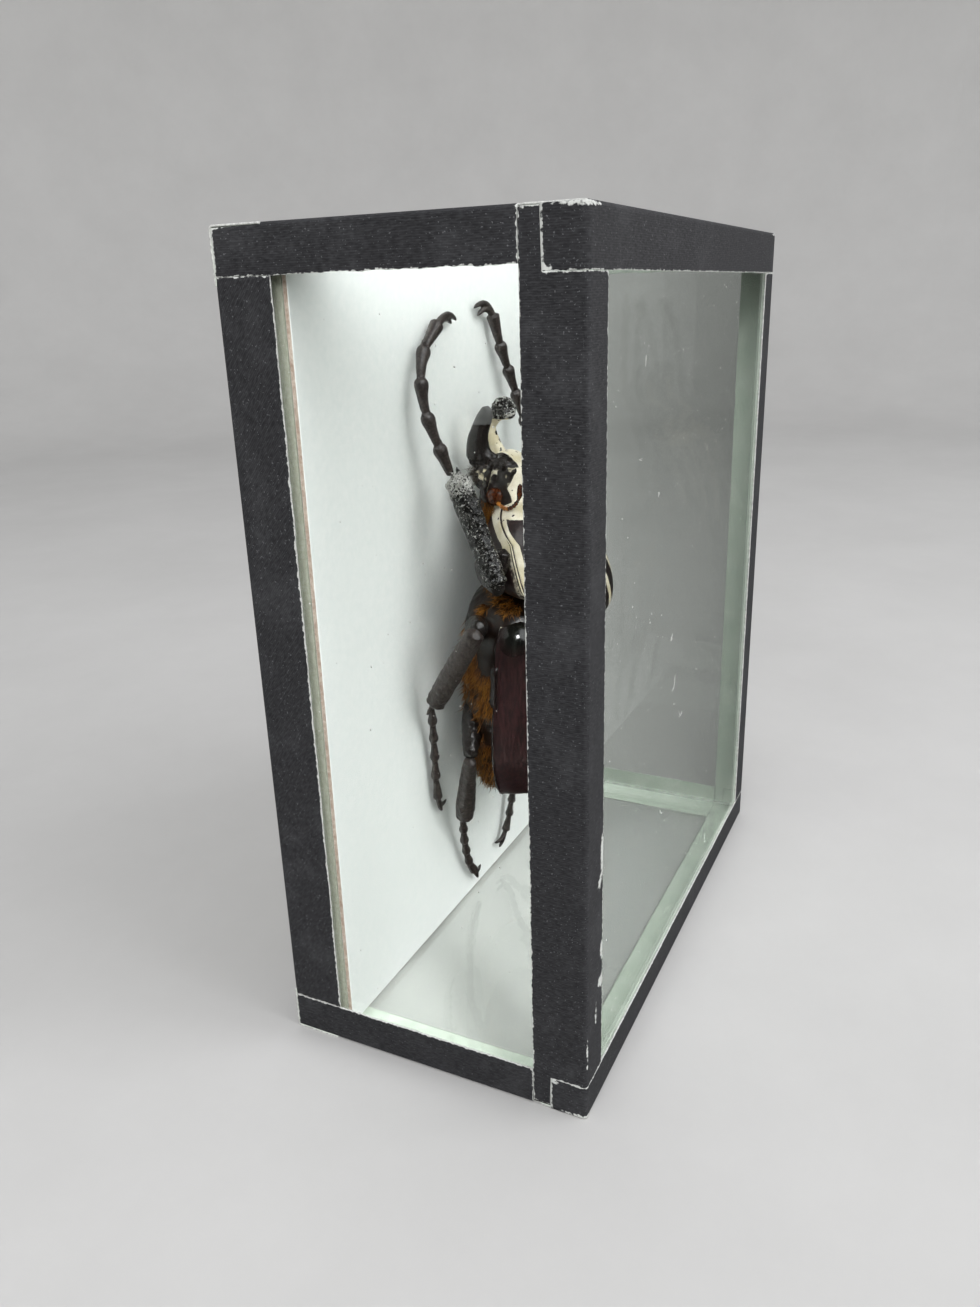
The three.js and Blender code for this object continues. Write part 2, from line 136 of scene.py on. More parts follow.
def add_node(
    tree: NodeTree,
    kind: str,
    settings: dict[str | int, Any] | None = None,
    links: dict[str | int, Node | NodeSocket] | None = None,
) -> Node:
    """Add one shader node.

    Args:
        tree: The material's node tree.
        kind: The node's type, without its ShaderNode prefix.
        settings: Values for its inputs or its own properties, and colour stops of a ramp under "stops".
        links: Nodes or sockets that feed its inputs; a node gives its first output.

    Returns:
        The new node.
    """
    node = tree.nodes.new("ShaderNode" + kind)
    for key, value in (settings or {}).items():
        if key == "stops":
            elements = node.color_ramp.elements
            elements[0].position, elements[-1].position = value[0][0], value[-1][0]
            for place, _ in value[1:-1]:
                elements.new(place)
            for element, (_, colour) in zip(elements, value):
                element.color = linear(colour)
        elif isinstance(key, int) or key in node.inputs:
            node.inputs[key].default_value = value
        else:
            setattr(node, key, value)
    for key, source in (links or {}).items():
        socket = source.outputs[0] if isinstance(source, Node) else source
        tree.links.new(socket, node.inputs[key])
    return node


class Finish:
    """A surface finish: what the real material is and how its surface was made."""

    title: ClassVar[str] = "finish"

    def shader(self, add: AddNode) -> Node:
        """Build the surface shader."""
        raise NotImplementedError


@lru_cache(maxsize=None)
def material_of(finish: Finish) -> Material:
    """Make the material of a finish, once for each set of values.

    Args:
        finish: The finish.

    Returns:
        A node material named for the finish.
    """
    material = bpy.data.materials.new(finish.title)
    material.use_nodes = True
    material.node_tree.nodes.clear()
    add = partial(add_node, material.node_tree)
    add("OutputMaterial", None, {"Surface": finish.shader(add)})
    return material


@dataclass(frozen=True)
class FloatGlass(Finish):
    """Window glass, floated and cut: clear, with a green cast, and smears that dull its shine in places."""

    title = "float_glass_cut"
    tint: str = "#f8fbf8"
    ior: float = 1.52
    smear_mm: float = 26.0
    smear_roughness: float = 0.035

    def shader(self, add: AddNode) -> Node:
        """Build the glass shader.

        Args:
            add: Adds a node to the material.

        Returns:
            The shader node.
        """
        place = add("TexCoord").outputs["Object"]
        grease = {"Scale": per_mm(self.smear_mm), "Detail": 5.0, "Distortion": 1.2}
        smears = add("TexNoise", grease, {"Vector": place})
        dulling = {"From Min": 0.56, "From Max": 0.72, "To Max": self.smear_roughness}
        dull = add("MapRange", dulling, {"Value": smears})
        clear = {"Base Color": linear(self.tint), "Transmission Weight": 1.0, "IOR": self.ior}
        return add("BsdfPrincipled", clear, {"Roughness": dull})


class Weave(Enum):
    """Which way the ribs of a tape run, as their slant from straight across it in degrees."""

    CROSS = 0.0
    LONG = 90.0
    TWILL = 52.0


@dataclass(frozen=True)
class BookCloth(Finish):
    """Black cotton binding tape, woven and filled: matt, faintly ribbed, white where its paper core shows."""

    title = "cotton_bookcloth_woven"
    weave: Weave = Weave.CROSS
    # Tone of the cloth, from the hollows between threads, painted as shade, to the threads, painted as
    # highlight
    thread: str = "#373739"
    shaded_hollow: str = "#202022"
    scuff: str = "#77787a"
    core: str = "#d9dbd5"
    # Real threads are about 0.3 mm apart, which is too fine to show, so the ribs are drawn coarser.
    rib_mm: float = 0.34
    slub_mm: float = 1.2
    scuff_mm: float = 11.0
    lint_mm: float = 0.7
    fleck_mm: float = 0.32
    core_mm: float = 0.16

    def shader(self, add: AddNode) -> Node:
        """Build the cloth shader from the strip's own lengthwise and crosswise distances.

        Args:
            add: Adds a node to the material.

        Returns:
            The shader node.
        """
        lay = add("Attribute", {"attribute_name": "lay"}).outputs["Vector"]
        rim = add("Attribute", {"attribute_name": "rim"}).outputs["Fac"]
        wear = add("Attribute", {"attribute_name": "wear"}).outputs["Fac"]
        slant = (0.0, 0.0, math.radians(self.weave.value))
        threads = {"vector_type": "TEXTURE", "Rotation": slant, "Scale": (self.rib_mm, self.slub_mm, 1.0)}
        turned = add("Mapping", threads, {"Vector": lay})
        slubs = add("TexNoise", {"Scale": 1.0, "Detail": 3.0}, {"Vector": turned})
        # A wave texture repeats after a tenth of pi over its scale, here once a rib.
        wave = {"Scale": math.pi / 10, "Distortion": 1.5, "Detail": 2.0}
        ribs = add("TexWave", wave, {"Vector": turned}).outputs[1]
        woven = add("Math", {"operation": "MULTIPLY_ADD", 1: 0.14}, {0: ribs, 2: slubs})
        blotch = {"Scale": 1 / self.scuff_mm, "Detail": 8.0, "Roughness": 0.7}
        blotches = add("TexNoise", blotch, {"Vector": lay})
        lint = add("TexNoise", {"Scale": 1 / self.lint_mm, "Detail": 2.0}, {"Vector": lay})
        dust = add("TexNoise", {"Scale": 1 / self.fleck_mm, "Detail": 1.0}, {"Vector": lay})
        # Threads are painted lighter and the hollows darker, in step with the bump: painted highlight and
        # painted shade on the weave.
        cloth = add("ValToRGB", {"stops": [(0.4, self.shaded_hollow), (0.76, self.thread)]}, {"Fac": woven})
        scuffs = add("MapRange", {"From Min": 0.5, "From Max": 0.9, "To Max": 0.22}, {"Value": blotches})
        flecks = add("MapRange", {"From Min": 0.68, "From Max": 0.78, "To Max": 0.75}, {"Value": dust})
        rubbed = add("Math", {"operation": "MAXIMUM"}, {0: scuffs, 1: flecks})
        dull = add("Mix", {"data_type": "RGBA", 7: linear(self.scuff)}, {0: rubbed, 6: cloth}).outputs[2]
        # The cut edge and the rubbed places show the core, in a ragged line.
        ragged = add("Math", {"operation": "MULTIPLY_ADD", 1: -0.9, 2: 0.47}, {0: lint})
        shifted = add("Math", {"operation": "ADD"}, {0: rim, 1: ragged})
        band = {"From Min": self.core_mm, "From Max": self.core_mm * 0.4, "To Max": 0.85}
        edge = add("MapRange", band, {"Value": shifted})
        patchy = add("Math", {"operation": "MULTIPLY"}, {0: wear, 1: lint})
        bare = add("MapRange", {"From Min": 0.36, "From Max": 0.5, "To Max": 0.9}, {"Value": patchy})
        white = add("Math", {"operation": "MAXIMUM"}, {0: edge, 1: bare})
        colour = add("Mix", {"data_type": "RGBA", 7: linear(self.core)}, {0: white, 6: dull}).outputs[2]
        bump = add("Bump", {"Strength": 0.3, "Distance": 0.1 * MM}, {"Height": woven})
        matt = {"Roughness": 0.78, "Sheen Weight": 0.04, "Sheen Roughness": 0.6, "IOR": 1.45}
        return add("BsdfPrincipled", matt, {"Base Color": colour, "Normal": bump})


@dataclass(frozen=True)
class Fibrous(Finish):
    """Pressed paper or board: one pale colour, mottled by its fibres, from matt to half gloss."""

    title = "paper_pressed"
    pale: str = "#e6eae4"
    deep: str = "#d5dbd3"
    mottle_mm: float = 3.0
    roughness: float = 0.8
    fibre_depth_mm: float = 0.02

    def shader(self, add: AddNode) -> Node:
        """Build the paper shader.

        Args:
            add: Adds a node to the material.

        Returns:
            The shader node.
        """
        place = add("TexCoord").outputs["Object"]
        fibres = {"Scale": per_mm(self.mottle_mm), "Detail": 8.0, "Roughness": 0.7}
        mottle = add("TexNoise", fibres, {"Vector": place})
        colour = add("ValToRGB", {"stops": [(0.35, self.deep), (0.65, self.pale)]}, {"Fac": mottle})
        bump = add("Bump", {"Strength": 0.4, "Distance": self.fibre_depth_mm * MM}, {"Height": mottle})
        sheet = {"Roughness": self.roughness, "IOR": 1.5}
        return add("BsdfPrincipled", sheet, {"Base Color": colour, "Normal": bump})


@dataclass(frozen=True)
class GummedPaper(Fibrous):
    """Gummed back of the tape, seen through the glass: pale green-white, streaked by its glue."""

    title = "kraft_paper_gummed"
    pale: str = "#e6ece1"
    deep: str = "#d4ddd0"
    mottle_mm: float = 6.0
    roughness: float = 0.55


@dataclass(frozen=True)
class TornPaper(Fibrous):
    """Paper core of the tape where it is cut or torn: white and fluffy."""

    title = "paper_core_torn"
    pale: str = "#e4e5df"
    deep: str = "#a9aaa6"
    mottle_mm: float = 0.7
    roughness: float = 0.95


@dataclass(frozen=True)
class CoatedCard(Fibrous):
    """White card, clay coated and rolled: smooth, half gloss and faintly cool."""

    title = "card_clay_coated"
    pale: str = "#f3f4f1"
    deep: str = "#ecefec"
    mottle_mm: float = 1.6
    roughness: float = 0.42
    fibre_depth_mm: float = 0.008


@dataclass(frozen=True)
class CardCore(Fibrous):
    """Cut edge of the card: bare pinkish-brown fibres."""

    title = "card_core_cut"
    pale: str = "#d3c2b5"
    deep: str = "#a58d7d"
    mottle_mm: float = 0.9
    roughness: float = 0.95


@dataclass(frozen=True)
class SlabFoam(Fibrous):
    """Foam slab, sawn: grey-green, with fine open cells."""

    title = "polymer_foam_sawn"
    pale: str = "#b4b4a6"
    deep: str = "#a0a190"
    mottle_mm: float = 0.8
    roughness: float = 0.95
    fibre_depth_mm: float = 0.12


@dataclass(frozen=True)
class Lint(Fibrous):
    """Dust and lint on the glass: grey-white fluff."""

    title = "house_dust_settled"
    pale: str = "#e9e8e2"
    deep: str = "#b9b8b2"
    mottle_mm: float = 0.5
    roughness: float = 1.0


@dataclass(frozen=True)
class PaintedFloor(Fibrous):
    """Studio floor, painted board: plain, pale and matt."""

    title = "board_painted_matt"
    pale: str = "#c4c3c0"
    deep: str = "#bfbebb"
    mottle_mm: float = 90.0
    roughness: float = 0.75


@dataclass(frozen=True)
class Chitin(Finish):
    """Insect shell, grown: dark, pitted and half glossy, under a paler bloom.

    The points of a piece carry "bloom", from bare shell at 0 to full bloom at 1, and "gloss", which smooths.
    On the raised wrinkles of the legs and the horn's knob, the bloom is also painted highlight.
    """

    title = "chitin_grown"
    shell: str = "#1d1816"
    ridge: str = "#322a27"
    bloom: str = "#e6decb"
    bloom_deep: str = "#cbbf9f"
    glossy: str = "#1a1715"
    pit_mm: float = 0.7
    pit_depth_mm: float = 0.1
    roughness: float = 0.32
    gloss_roughness: float = 0.2
    bloom_roughness: float = 0.7
    # How strongly the pits break through the bloom
    break_up: float = 0.5
    sheen: float = 0.0
    sheen_tint: str = "#ffffff"
    # How much the pattern is drawn out along x, y and z, as the scale of its places
    grain: Place = (1.0, 1.0, 1.0)

    def shader(self, add: AddNode) -> Node:
        """Build the shell shader.

        Args:
            add: Adds a node to the material.

        Returns:
            The shader node.
        """
        own = add("TexCoord").outputs["Object"]
        place = add("Mapping", {"Scale": self.grain}, {"Vector": own})
        bloom = add("Attribute", {"attribute_name": "bloom"}).outputs["Fac"]
        gloss = add("Attribute", {"attribute_name": "gloss"}).outputs["Fac"]
        pitted = {"Scale": per_mm(self.pit_mm), "Detail": 4.0, "Roughness": 0.6}
        pits = add("TexNoise", pitted, {"Vector": place})
        cloud = add("TexNoise", {"Scale": per_mm(self.pit_mm * 6), "Detail": 5.0}, {"Vector": place})
        bare = add("ValToRGB", {"stops": [(0.38, self.shell), (0.7, self.ridge)]}, {"Fac": pits})
        polished = add("Mix", {"data_type": "RGBA", 7: linear(self.glossy)}, {0: gloss, 6: bare}).outputs[2]
        chalk = add("ValToRGB", {"stops": [(0.35, self.bloom_deep), (0.6, self.bloom)]}, {"Fac": cloud})
        # Pits break through the bloom, and through the edge of it most.
        breaking = {"operation": "MULTIPLY_ADD", 1: self.break_up, 2: -self.break_up / 2}
        broken = add("Math", breaking, {0: pits})
        uneven = add("Math", {"operation": "ADD"}, {0: bloom, 1: broken})
        cover = add("MapRange", {"From Min": 0.38, "From Max": 0.62}, {"Value": uneven})
        colour = add("Mix", {"data_type": "RGBA"}, {0: cover, 6: polished, 7: chalk}).outputs[2]
        smooth = add("MapRange", {"To Min": self.roughness, "To Max": self.gloss_roughness}, {"Value": gloss})
        rough = add("MapRange", {"To Max": self.bloom_roughness}, {"Value": cover, "To Min": smooth})
        relief = add("MapRange", {"To Min": 0.6, "To Max": 0.12}, {"Value": gloss})
        bump = add("Bump", {"Distance": self.pit_depth_mm * MM}, {"Height": pits, "Strength": relief})
        velvet = {
            "IOR": 1.55,
            "Sheen Weight": self.sheen,
            "Sheen Roughness": 0.4,
            "Sheen Tint": linear(self.sheen_tint),
        }
        return add("BsdfPrincipled", velvet, {"Base Color": colour, "Roughness": rough, "Normal": bump})


@dataclass(frozen=True)
class VelvetChitin(Chitin):
    """Wing case: maroon shell under a short velvet that catches light, rubbed black at the shoulder."""

    title = "chitin_velvet"
    shell: str = "#201112"
    ridge: str = "#432526"
    glossy: str = "#121310"
    pit_mm: float = 0.5
    pit_depth_mm: float = 0.08
    roughness: float = 0.42
    gloss_roughness: float = 0.16
    sheen: float = 0.05
    sheen_tint: str = "#b98a86"
    grain: Place = (1.0, 1.0, 0.2)


@dataclass(frozen=True)
class ShieldChitin(Chitin):
    """Shield behind the head: maroon-black shell under chalky cream stripes."""

    title = "chitin_striped"
    shell: str = "#1d1010"
    ridge: str = "#38211f"
    glossy: str = "#1c1111"
    roughness: float = 0.5
    gloss_roughness: float = 0.4


@dataclass(frozen=True)
class BrownChitin(Chitin):
    """Trunk: brown-black shell, wrinkled and half glossy."""

    title = "chitin_brown"
    shell: str = "#110905"
    ridge: str = "#27150b"
    glossy: str = "#100b08"
    pit_mm: float = 0.9
    pit_depth_mm: float = 0.12


@dataclass(frozen=True)
class DustyChitin(Chitin):
    """Feet, and shins of the rear legs: black shell, finely pitted and dulled by old dust."""

    title = "chitin_dusty"
    shell: str = "#221d1b"
    ridge: str = "#4a413d"
    pit_mm: float = 0.45
    pit_depth_mm: float = 0.14
    roughness: float = 0.36


@dataclass(frozen=True)
class RugoseChitin(Chitin):
    """Shin of a front leg, and knob of the horn: black wrinkles whose crests are dust and painted highlight.
    """

    title = "chitin_rugose"
    shell: str = "#0f0e0d"
    ridge: str = "#24211f"
    # Pale of the crests: dust, and painted highlight where the wrinkles would glint
    bloom: str = "#b0aea9"
    bloom_deep: str = "#7f7c77"
    # Real wrinkles are about 0.2 mm wide, too fine to show, so they are drawn coarser.
    pit_mm: float = 0.38
    pit_depth_mm: float = 0.2
    roughness: float = 0.22
    bloom_roughness: float = 0.5
    # Pits break strongly through the bloom, so the raised crests of the bump come out pale: painted
    # highlight.
    break_up: float = 2.2


@dataclass(frozen=True)
class RubbedChitin(Chitin):
    """End of the left prong: black shell, rubbed to an even grey."""

    title = "chitin_rubbed"
    bloom: str = "#5c5b5a"
    bloom_deep: str = "#4d4c4b"
    bloom_roughness: float = 0.5


@dataclass(frozen=True)
class AmberShell(Chitin):
    """Eye and feelers: dark amber, clear at the surface and polished."""

    title = "chitin_amber"
    shell: str = "#2a1208"
    ridge: str = "#6b3414"
    glossy: str = "#3a1b0c"
    bloom: str = "#b8762c"
    bloom_deep: str = "#8a5220"
    pit_mm: float = 0.4
    pit_depth_mm: float = 0.03
    roughness: float = 0.22
    bloom_roughness: float = 0.35


@dataclass(frozen=True)
class Bristle(Finish):
    """Beetle hair: golden brown, darker at the root, each hair of its own shade."""

    title = "hair_golden"
    root: str = "#542a0d"
    tip: str = "#d68e32"
    shaded: str = "#2f1709"

    def shader(self, add: AddNode) -> Node:
        """Build the hair shader.

        Args:
            add: Adds a node to the material.

        Returns:
            The shader node.
        """
        reach = add("Attribute", {"attribute_name": "reach"}).outputs["Fac"]
        shade = add("Attribute", {"attribute_name": "shade"}).outputs["Fac"]
        hair = add("ValToRGB", {"stops": [(0.05, self.root), (0.9, self.tip)]}, {"Fac": reach})
        colour = add("Mix", {"data_type": "RGBA", 7: linear(self.shaded)}, {0: shade, 6: hair}).outputs[2]
        return add("BsdfPrincipled", {"Roughness": 0.45, "IOR": 1.55}, {"Base Color": colour})


@dataclass(frozen=True)
class GreyBristle(Bristle):
    """Beetle hair that has lost its gold: grey brown."""

    title = "hair_faded"
    root: str = "#2b221c"
    tip: str = "#8d8378"
    shaded: str = "#3a2f27"


def rise(values: Array, low: float, high: float) -> Array:
    """Rise smoothly from 0 at low to 1 at high."""
    share = np.clip((values - low) / (high - low), 0.0, 1.0)
    return share * share * (3.0 - 2.0 * share)


def bell(values: Array, middle: float, width: float) -> Array:
    """A hump of height 1 at middle that fades over width."""
    return np.exp(-(((values - middle) / width) ** 2))


def blobs(points: Array, size: float, seed: int) -> Array:
    """Smooth noise.

    Args:
        points: Places in millimetres, one a row.
        size: Width of a blob in millimetres.
        seed: Which noise to draw.

    Returns:
        Values between -1 and 1.
    """
    scaled = points / size + seed * 17.31
    cell = np.floor(scaled).astype(np.int64)
    part = scaled - cell
    ease = part * part * (3.0 - 2.0 * part)
    total = np.zeros(len(points))
    for corner in itertools.product((0, 1), repeat=3):
        at = cell + np.array(corner)
        mixed = at[:, 0] * 374761393 + at[:, 1] * 668265263 + at[:, 2] * 1274126177 + seed * 974711
        mixed = ((mixed ^ (mixed >> 13)) * 1103515245) & 0x7FFFFFFF
        value = ((mixed ^ (mixed >> 16)) & 0xFFFF) / 32767.5 - 1.0
        weight = np.prod(np.where(np.array(corner) == 1, ease, 1.0 - ease), axis=1)
        total += value * weight
    return total


def unit(vectors: Array) -> Array:
    """The same directions, each of length one."""
    return vectors / np.linalg.norm(vectors, axis=-1, keepdims=True)


def circle(count: int) -> Array:
    """Angles spread evenly round a circle."""
    return np.linspace(0, 2 * math.pi, count, endpoint=False)


def spline(knots: Sequence[Sequence[float]] | Array, count: int) -> Array:
    """Points on a smooth curve through knots.

    Args:
        knots: Places or values that the curve passes, one a row.
        count: How many points to give.

    Returns:
        The points, evenly spread from knot to knot.
    """
    known = np.asarray(knots, float)
    known = np.vstack([2 * known[0] - known[1], known, 2 * known[-1] - known[-2]])
    steps = np.linspace(0, len(known) - 3, count)
    first = np.minimum(steps.astype(int), len(known) - 4)
    share = (steps - first)[:, None]
    before, start, end, after = (known[first + i] for i in range(4))
    bent = (2 * before - 5 * start + 4 * end - after) * share ** 2
    turned = (3 * start - before - 3 * end + after) * share ** 3
    return 0.5 * (2 * start + (end - before) * share + bent + turned)


def graded(values: Sequence[float], count: int) -> Array:
    """Values spread smoothly over a number of steps."""
    return spline(np.array(values)[:, None], count)[:, 0]


@dataclass
class Draft:
    """A surface while it is made: points in millimetres, faces, and values painted on the points."""

    points: Array
    quads: Array = field(default_factory=lambda: np.zeros((0, 4), int))
    tris: Array = field(default_factory=lambda: np.zeros((0, 3), int))
    paint: dict[str, Array] = field(default_factory=dict)

    @classmethod
    def joined(cls, drafts: Sequence["Draft"]) -> "Draft":
        """Put several surfaces into one.

        Args:
            drafts: The surfaces, all painted with the same values.

        Returns:
            One surface that holds them all.
        """
        starts = np.cumsum([0, *[len(d.points) for d in drafts[:-1]]])
        return cls(
            np.vstack([d.points for d in drafts]),
            np.vstack([d.quads + s for d, s in zip(drafts, starts)]),
            np.vstack([d.tris + s for d, s in zip(drafts, starts)]),
            {key: np.concatenate([d.paint[key] for d in drafts]) for key in drafts[0].paint},
        )

    @classmethod
    def sheet(cls, grid: Array) -> "Draft":
        """An open surface over a grid of points.

        Args:
            grid: Points, rows by columns.

        Returns:
            The surface.
        """
        rows, columns = grid.shape[:2]
        index = np.arange(rows * columns).reshape(rows, columns)
        corners = (index[:-1, :-1], index[:-1, 1:], index[1:, 1:], index[1:, :-1])
        return cls(grid.reshape(-1, 3), np.stack([c.ravel() for c in corners], 1))

    @classmethod
    def closed(cls, rings: Array, first: Array, last: Array) -> "Draft":
        """A closed surface of rings, drawn together to a point at each end.

        Args:
            rings: Points, ring by ring.
            first: The point before the first ring.
            last: The point after the last ring.

        Returns:
            The surface, with its faces turned out.
        """
        count, around = rings.shape[:2]
        index = np.arange(count * around).reshape(count, around)
        ahead = np.roll(index, -1, axis=1)
        corners = (index[:-1], ahead[:-1], ahead[1:], index[1:])
        quads = np.stack([c.ravel() for c in corners], 1)
        start, end = count * around, count * around + 1
        caps = [
            np.stack([np.full(around, start), ahead[0], index[0]], 1),
            np.stack([np.full(around, end), index[-1], ahead[-1]], 1),
        ]
        made = cls(np.vstack([rings.reshape(-1, 3), first, last]), quads, np.vstack(caps))
        if made.volume() < 0:
            made.flip()
        return made

    def volume(self) -> float:
        """Volume inside.

        Returns:
            Cubic millimetres, negative where the faces are turned in.
        """
        halves = np.vstack([self.tris, self.quads[:, [0, 1, 2]], self.quads[:, [0, 2, 3]]])
        a, b, c = (self.points[halves[:, i]] for i in range(3))
        return float(np.einsum("ij,ij->i", a, np.cross(b, c)).sum() / 6)

    def normals(self) -> Array:
        """Directions out of the surface.

        Returns:
            A unit normal at each point.
        """
        total = np.zeros_like(self.points)
        for faces in (self.quads, self.tris):
            if not len(faces):
                continue
            corner = self.points[faces]
            facing = np.cross(corner[:, 2] - corner[:, 0], corner[:, -1] - corner[:, 1])
            for column in range(faces.shape[1]):
                np.add.at(total, faces[:, column], facing)
        return total / np.maximum(np.linalg.norm(total, axis=1, keepdims=True), 1e-12)

    def flip(self) -> None:
        """Turn the faces over."""
        self.quads, self.tris = self.quads[:, ::-1], self.tris[:, ::-1]

    def swell(self, amount: Array) -> "Draft":
        """Move each point out along its normal by an amount in millimetres."""
        self.points = self.points + self.normals() * amount[:, None]
        return self


def tube(path: Array, width: Array, depth: Array, facing: Place, sides: int = 14) -> Draft:
    """A closed tube of oval section along a path, with rounded ends.

    Args:
        path: Points along its middle.
        width: Half-width at each point, across the facing direction.
        depth: Half-thickness at each point, along the facing direction.
        facing: Which way its thickness lies.
        sides: Corners of its section.

    Returns:
        The tube.
    """
    ahead = unit(np.gradient(path, axis=0))
    out = np.asarray(facing, float)
    thick = unit(out - (ahead @ out)[:, None] * ahead)
    broad = np.cross(ahead, thick)
    turn = circle(sides)
    across = np.cos(turn)[None, :, None] * (broad * width[:, None])[:, None, :]
    through = np.sin(turn)[None, :, None] * (thick * depth[:, None])[:, None, :]
    rings = path[:, None, :] + across + through
    first = path[0] - ahead[0] * min(width[0], depth[0]) * 0.6
    last = path[-1] + ahead[-1] * min(width[-1], depth[-1]) * 0.6
    return Draft.closed(rings, first, last)


def round_tube(
    knots: Sequence[Place | Array], radii: Sequence[float], count: int = 16, sides: int = 12
) -> Draft:
    """A round tube on a smooth curve.

    Args:
        knots: Places that the curve passes.
        radii: Its radii, spread evenly along it.
        count: How many rings it has.
        sides: Corners of its section.

    Returns:
        The tube.
    """
    radius = graded(radii, count)
    # A direction that no limb runs along
    facing = (0.31, 0.17, 1.0)
    return tube(spline(knots, count), radius, radius, facing, sides)


def lump(middle: Place, radii: Place, rows: int = 14, sides: int = 20) -> Draft:
    """A closed egg.

    Args:
        middle: Its middle.
        radii: Its radius along x, y and z.
        rows: How many rings it has.
        sides: Corners of a ring.

    Returns:
        The egg.
    """
    polar = np.linspace(0, math.pi, rows + 2)[1:-1]
    turn = circle(sides)
    x = np.sin(polar)[:, None] * np.cos(turn)[None]
    z = np.sin(polar)[:, None] * np.sin(turn)[None]
    y = np.repeat(np.cos(polar)[:, None], sides, 1)
    ball = np.stack([x, y, z], -1)
    ends = np.array([[0, 1, 0], [0, -1, 0]], float) * radii + middle
    return Draft.closed(ball * radii + np.asarray(middle), ends[0], ends[1])


def fused(drafts: Sequence[Draft], voxel: float, relax: int) -> Draft:
    """One skin over shapes that run into each other.

    Args:
        drafts: Closed shapes.
        voxel: Fineness of the skin in millimetres.
        relax: How many times the skin is smoothed.

    Returns:
        The skin as a single closed surface.
    """
    whole = Draft.joined([Draft(d.points, d.quads, d.tris) for d in drafts])
    mesh = bpy.data.meshes.new("fusing")
    mesh.from_pydata(whole.points.tolist(), [], [*whole.quads.tolist(), *whole.tris.tolist()])
    holder = bpy.data.objects.new("fusing", mesh)
    bpy.context.scene.collection.objects.link(holder)
    skin = holder.modifiers.new("skin", "REMESH")
    skin.mode = "VOXEL"
    skin.voxel_size = voxel
    smooth = holder.modifiers.new("relax", "SMOOTH")
    smooth.factor = 0.5
    smooth.iterations = relax
    made = bpy.data.meshes.new_from_object(holder.evaluated_get(bpy.context.evaluated_depsgraph_get()))
    points = np.zeros(len(made.vertices) * 3)
    made.vertices.foreach_get("co", points)
    corners = np.zeros(len(made.loops), int)
    made.loops.foreach_get("vertex_index", corners)
    totals = np.zeros(len(made.polygons), int)
    made.polygons.foreach_get("loop_total", totals)
    starts = np.cumsum(totals) - totals
    quads = corners[starts[totals == 4][:, None] + np.arange(4)]
    tris = corners[starts[totals == 3][:, None] + np.arange(3)]
    bpy.data.objects.remove(holder)
    bpy.data.meshes.remove(mesh)
    bpy.data.meshes.remove(made)
    return Draft(points.reshape(-1, 3), quads, tris)


def in_beetle(points: Array) -> Array:
    """Bring points from the beetle's frame, x right, y to the head and z off the card, into the case."""
    x, y, z = points.T
    return np.stack([x, CARD_FACE - z, BEETLE_HEIGHT + y], 1)


def in_case(points: Array) -> Array:
    """Leave points that are in the frame of the case as they are."""
    return points


def add_piece(
    name: str,
    draft: Draft,
    finishes: Sequence[Finish],
    node: str | None = None,
    placed: Callable[[Array], Array] = in_beetle,
) -> Object:
    """Make a piece of the object from a draft.

    Args:
        name: The piece's name.
        draft: Its surface.
        finishes: Its finishes, in the order of its material slots.
        node: The part of the frame that it stands for.
        placed: Brings the draft's points into the case.

    Returns:
        The new object.
    """
    mesh = bpy.data.meshes.new(name)
    faces = [*draft.quads.tolist(), *draft.tris.tolist()]
    mesh.from_pydata((placed(draft.points) * MM).tolist(), [], faces)
    for key, values in draft.paint.items():
        if values.ndim == 1:
            mesh.attributes.new(key, "FLOAT", "POINT").data.foreach_set("value", values.astype(np.float32))
        else:
            flat = values.astype(np.float32).ravel()
            mesh.attributes.new(key, "FLOAT_VECTOR", "POINT").data.foreach_set("vector", flat)
    mesh.polygons.foreach_set("use_smooth", np.ones(len(faces), bool))
    for finish in finishes:
        mesh.materials.append(material_of(finish))
    mesh.update()
    piece = bpy.data.objects.new(name, mesh)
    bpy.context.scene.collection.objects.link(piece)
    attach(piece, BODY)
    if node:
        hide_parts(node)
    LOG.info("%s: %d faces", name, len(faces))
    return piece


def thicken(piece: Object, thickness: float) -> Modifier:
    """Give a sheet its thickness, inwards.

    Args:
        piece: The sheet.
        thickness: How thick it is in millimetres.

    Returns:
        The modifier that thickens it.
    """
    shell = piece.modifiers.new("thickness", "SOLIDIFY")
    shell.thickness = thickness * MM
    shell.offset = -1.0
    return shell


@dataclass(frozen=True)
class Span:
    """A stretch across a tape, and how far along the edge the tape runs there."""

    start: float
    end: float
    low: float
    high: float


@dataclass(frozen=True)
class Rub:
    """A worn place on a tape: where it is, how far it reaches along and across, and how worn it is."""

    along: float
    across: float
    length: float
    width: float
    amount: float


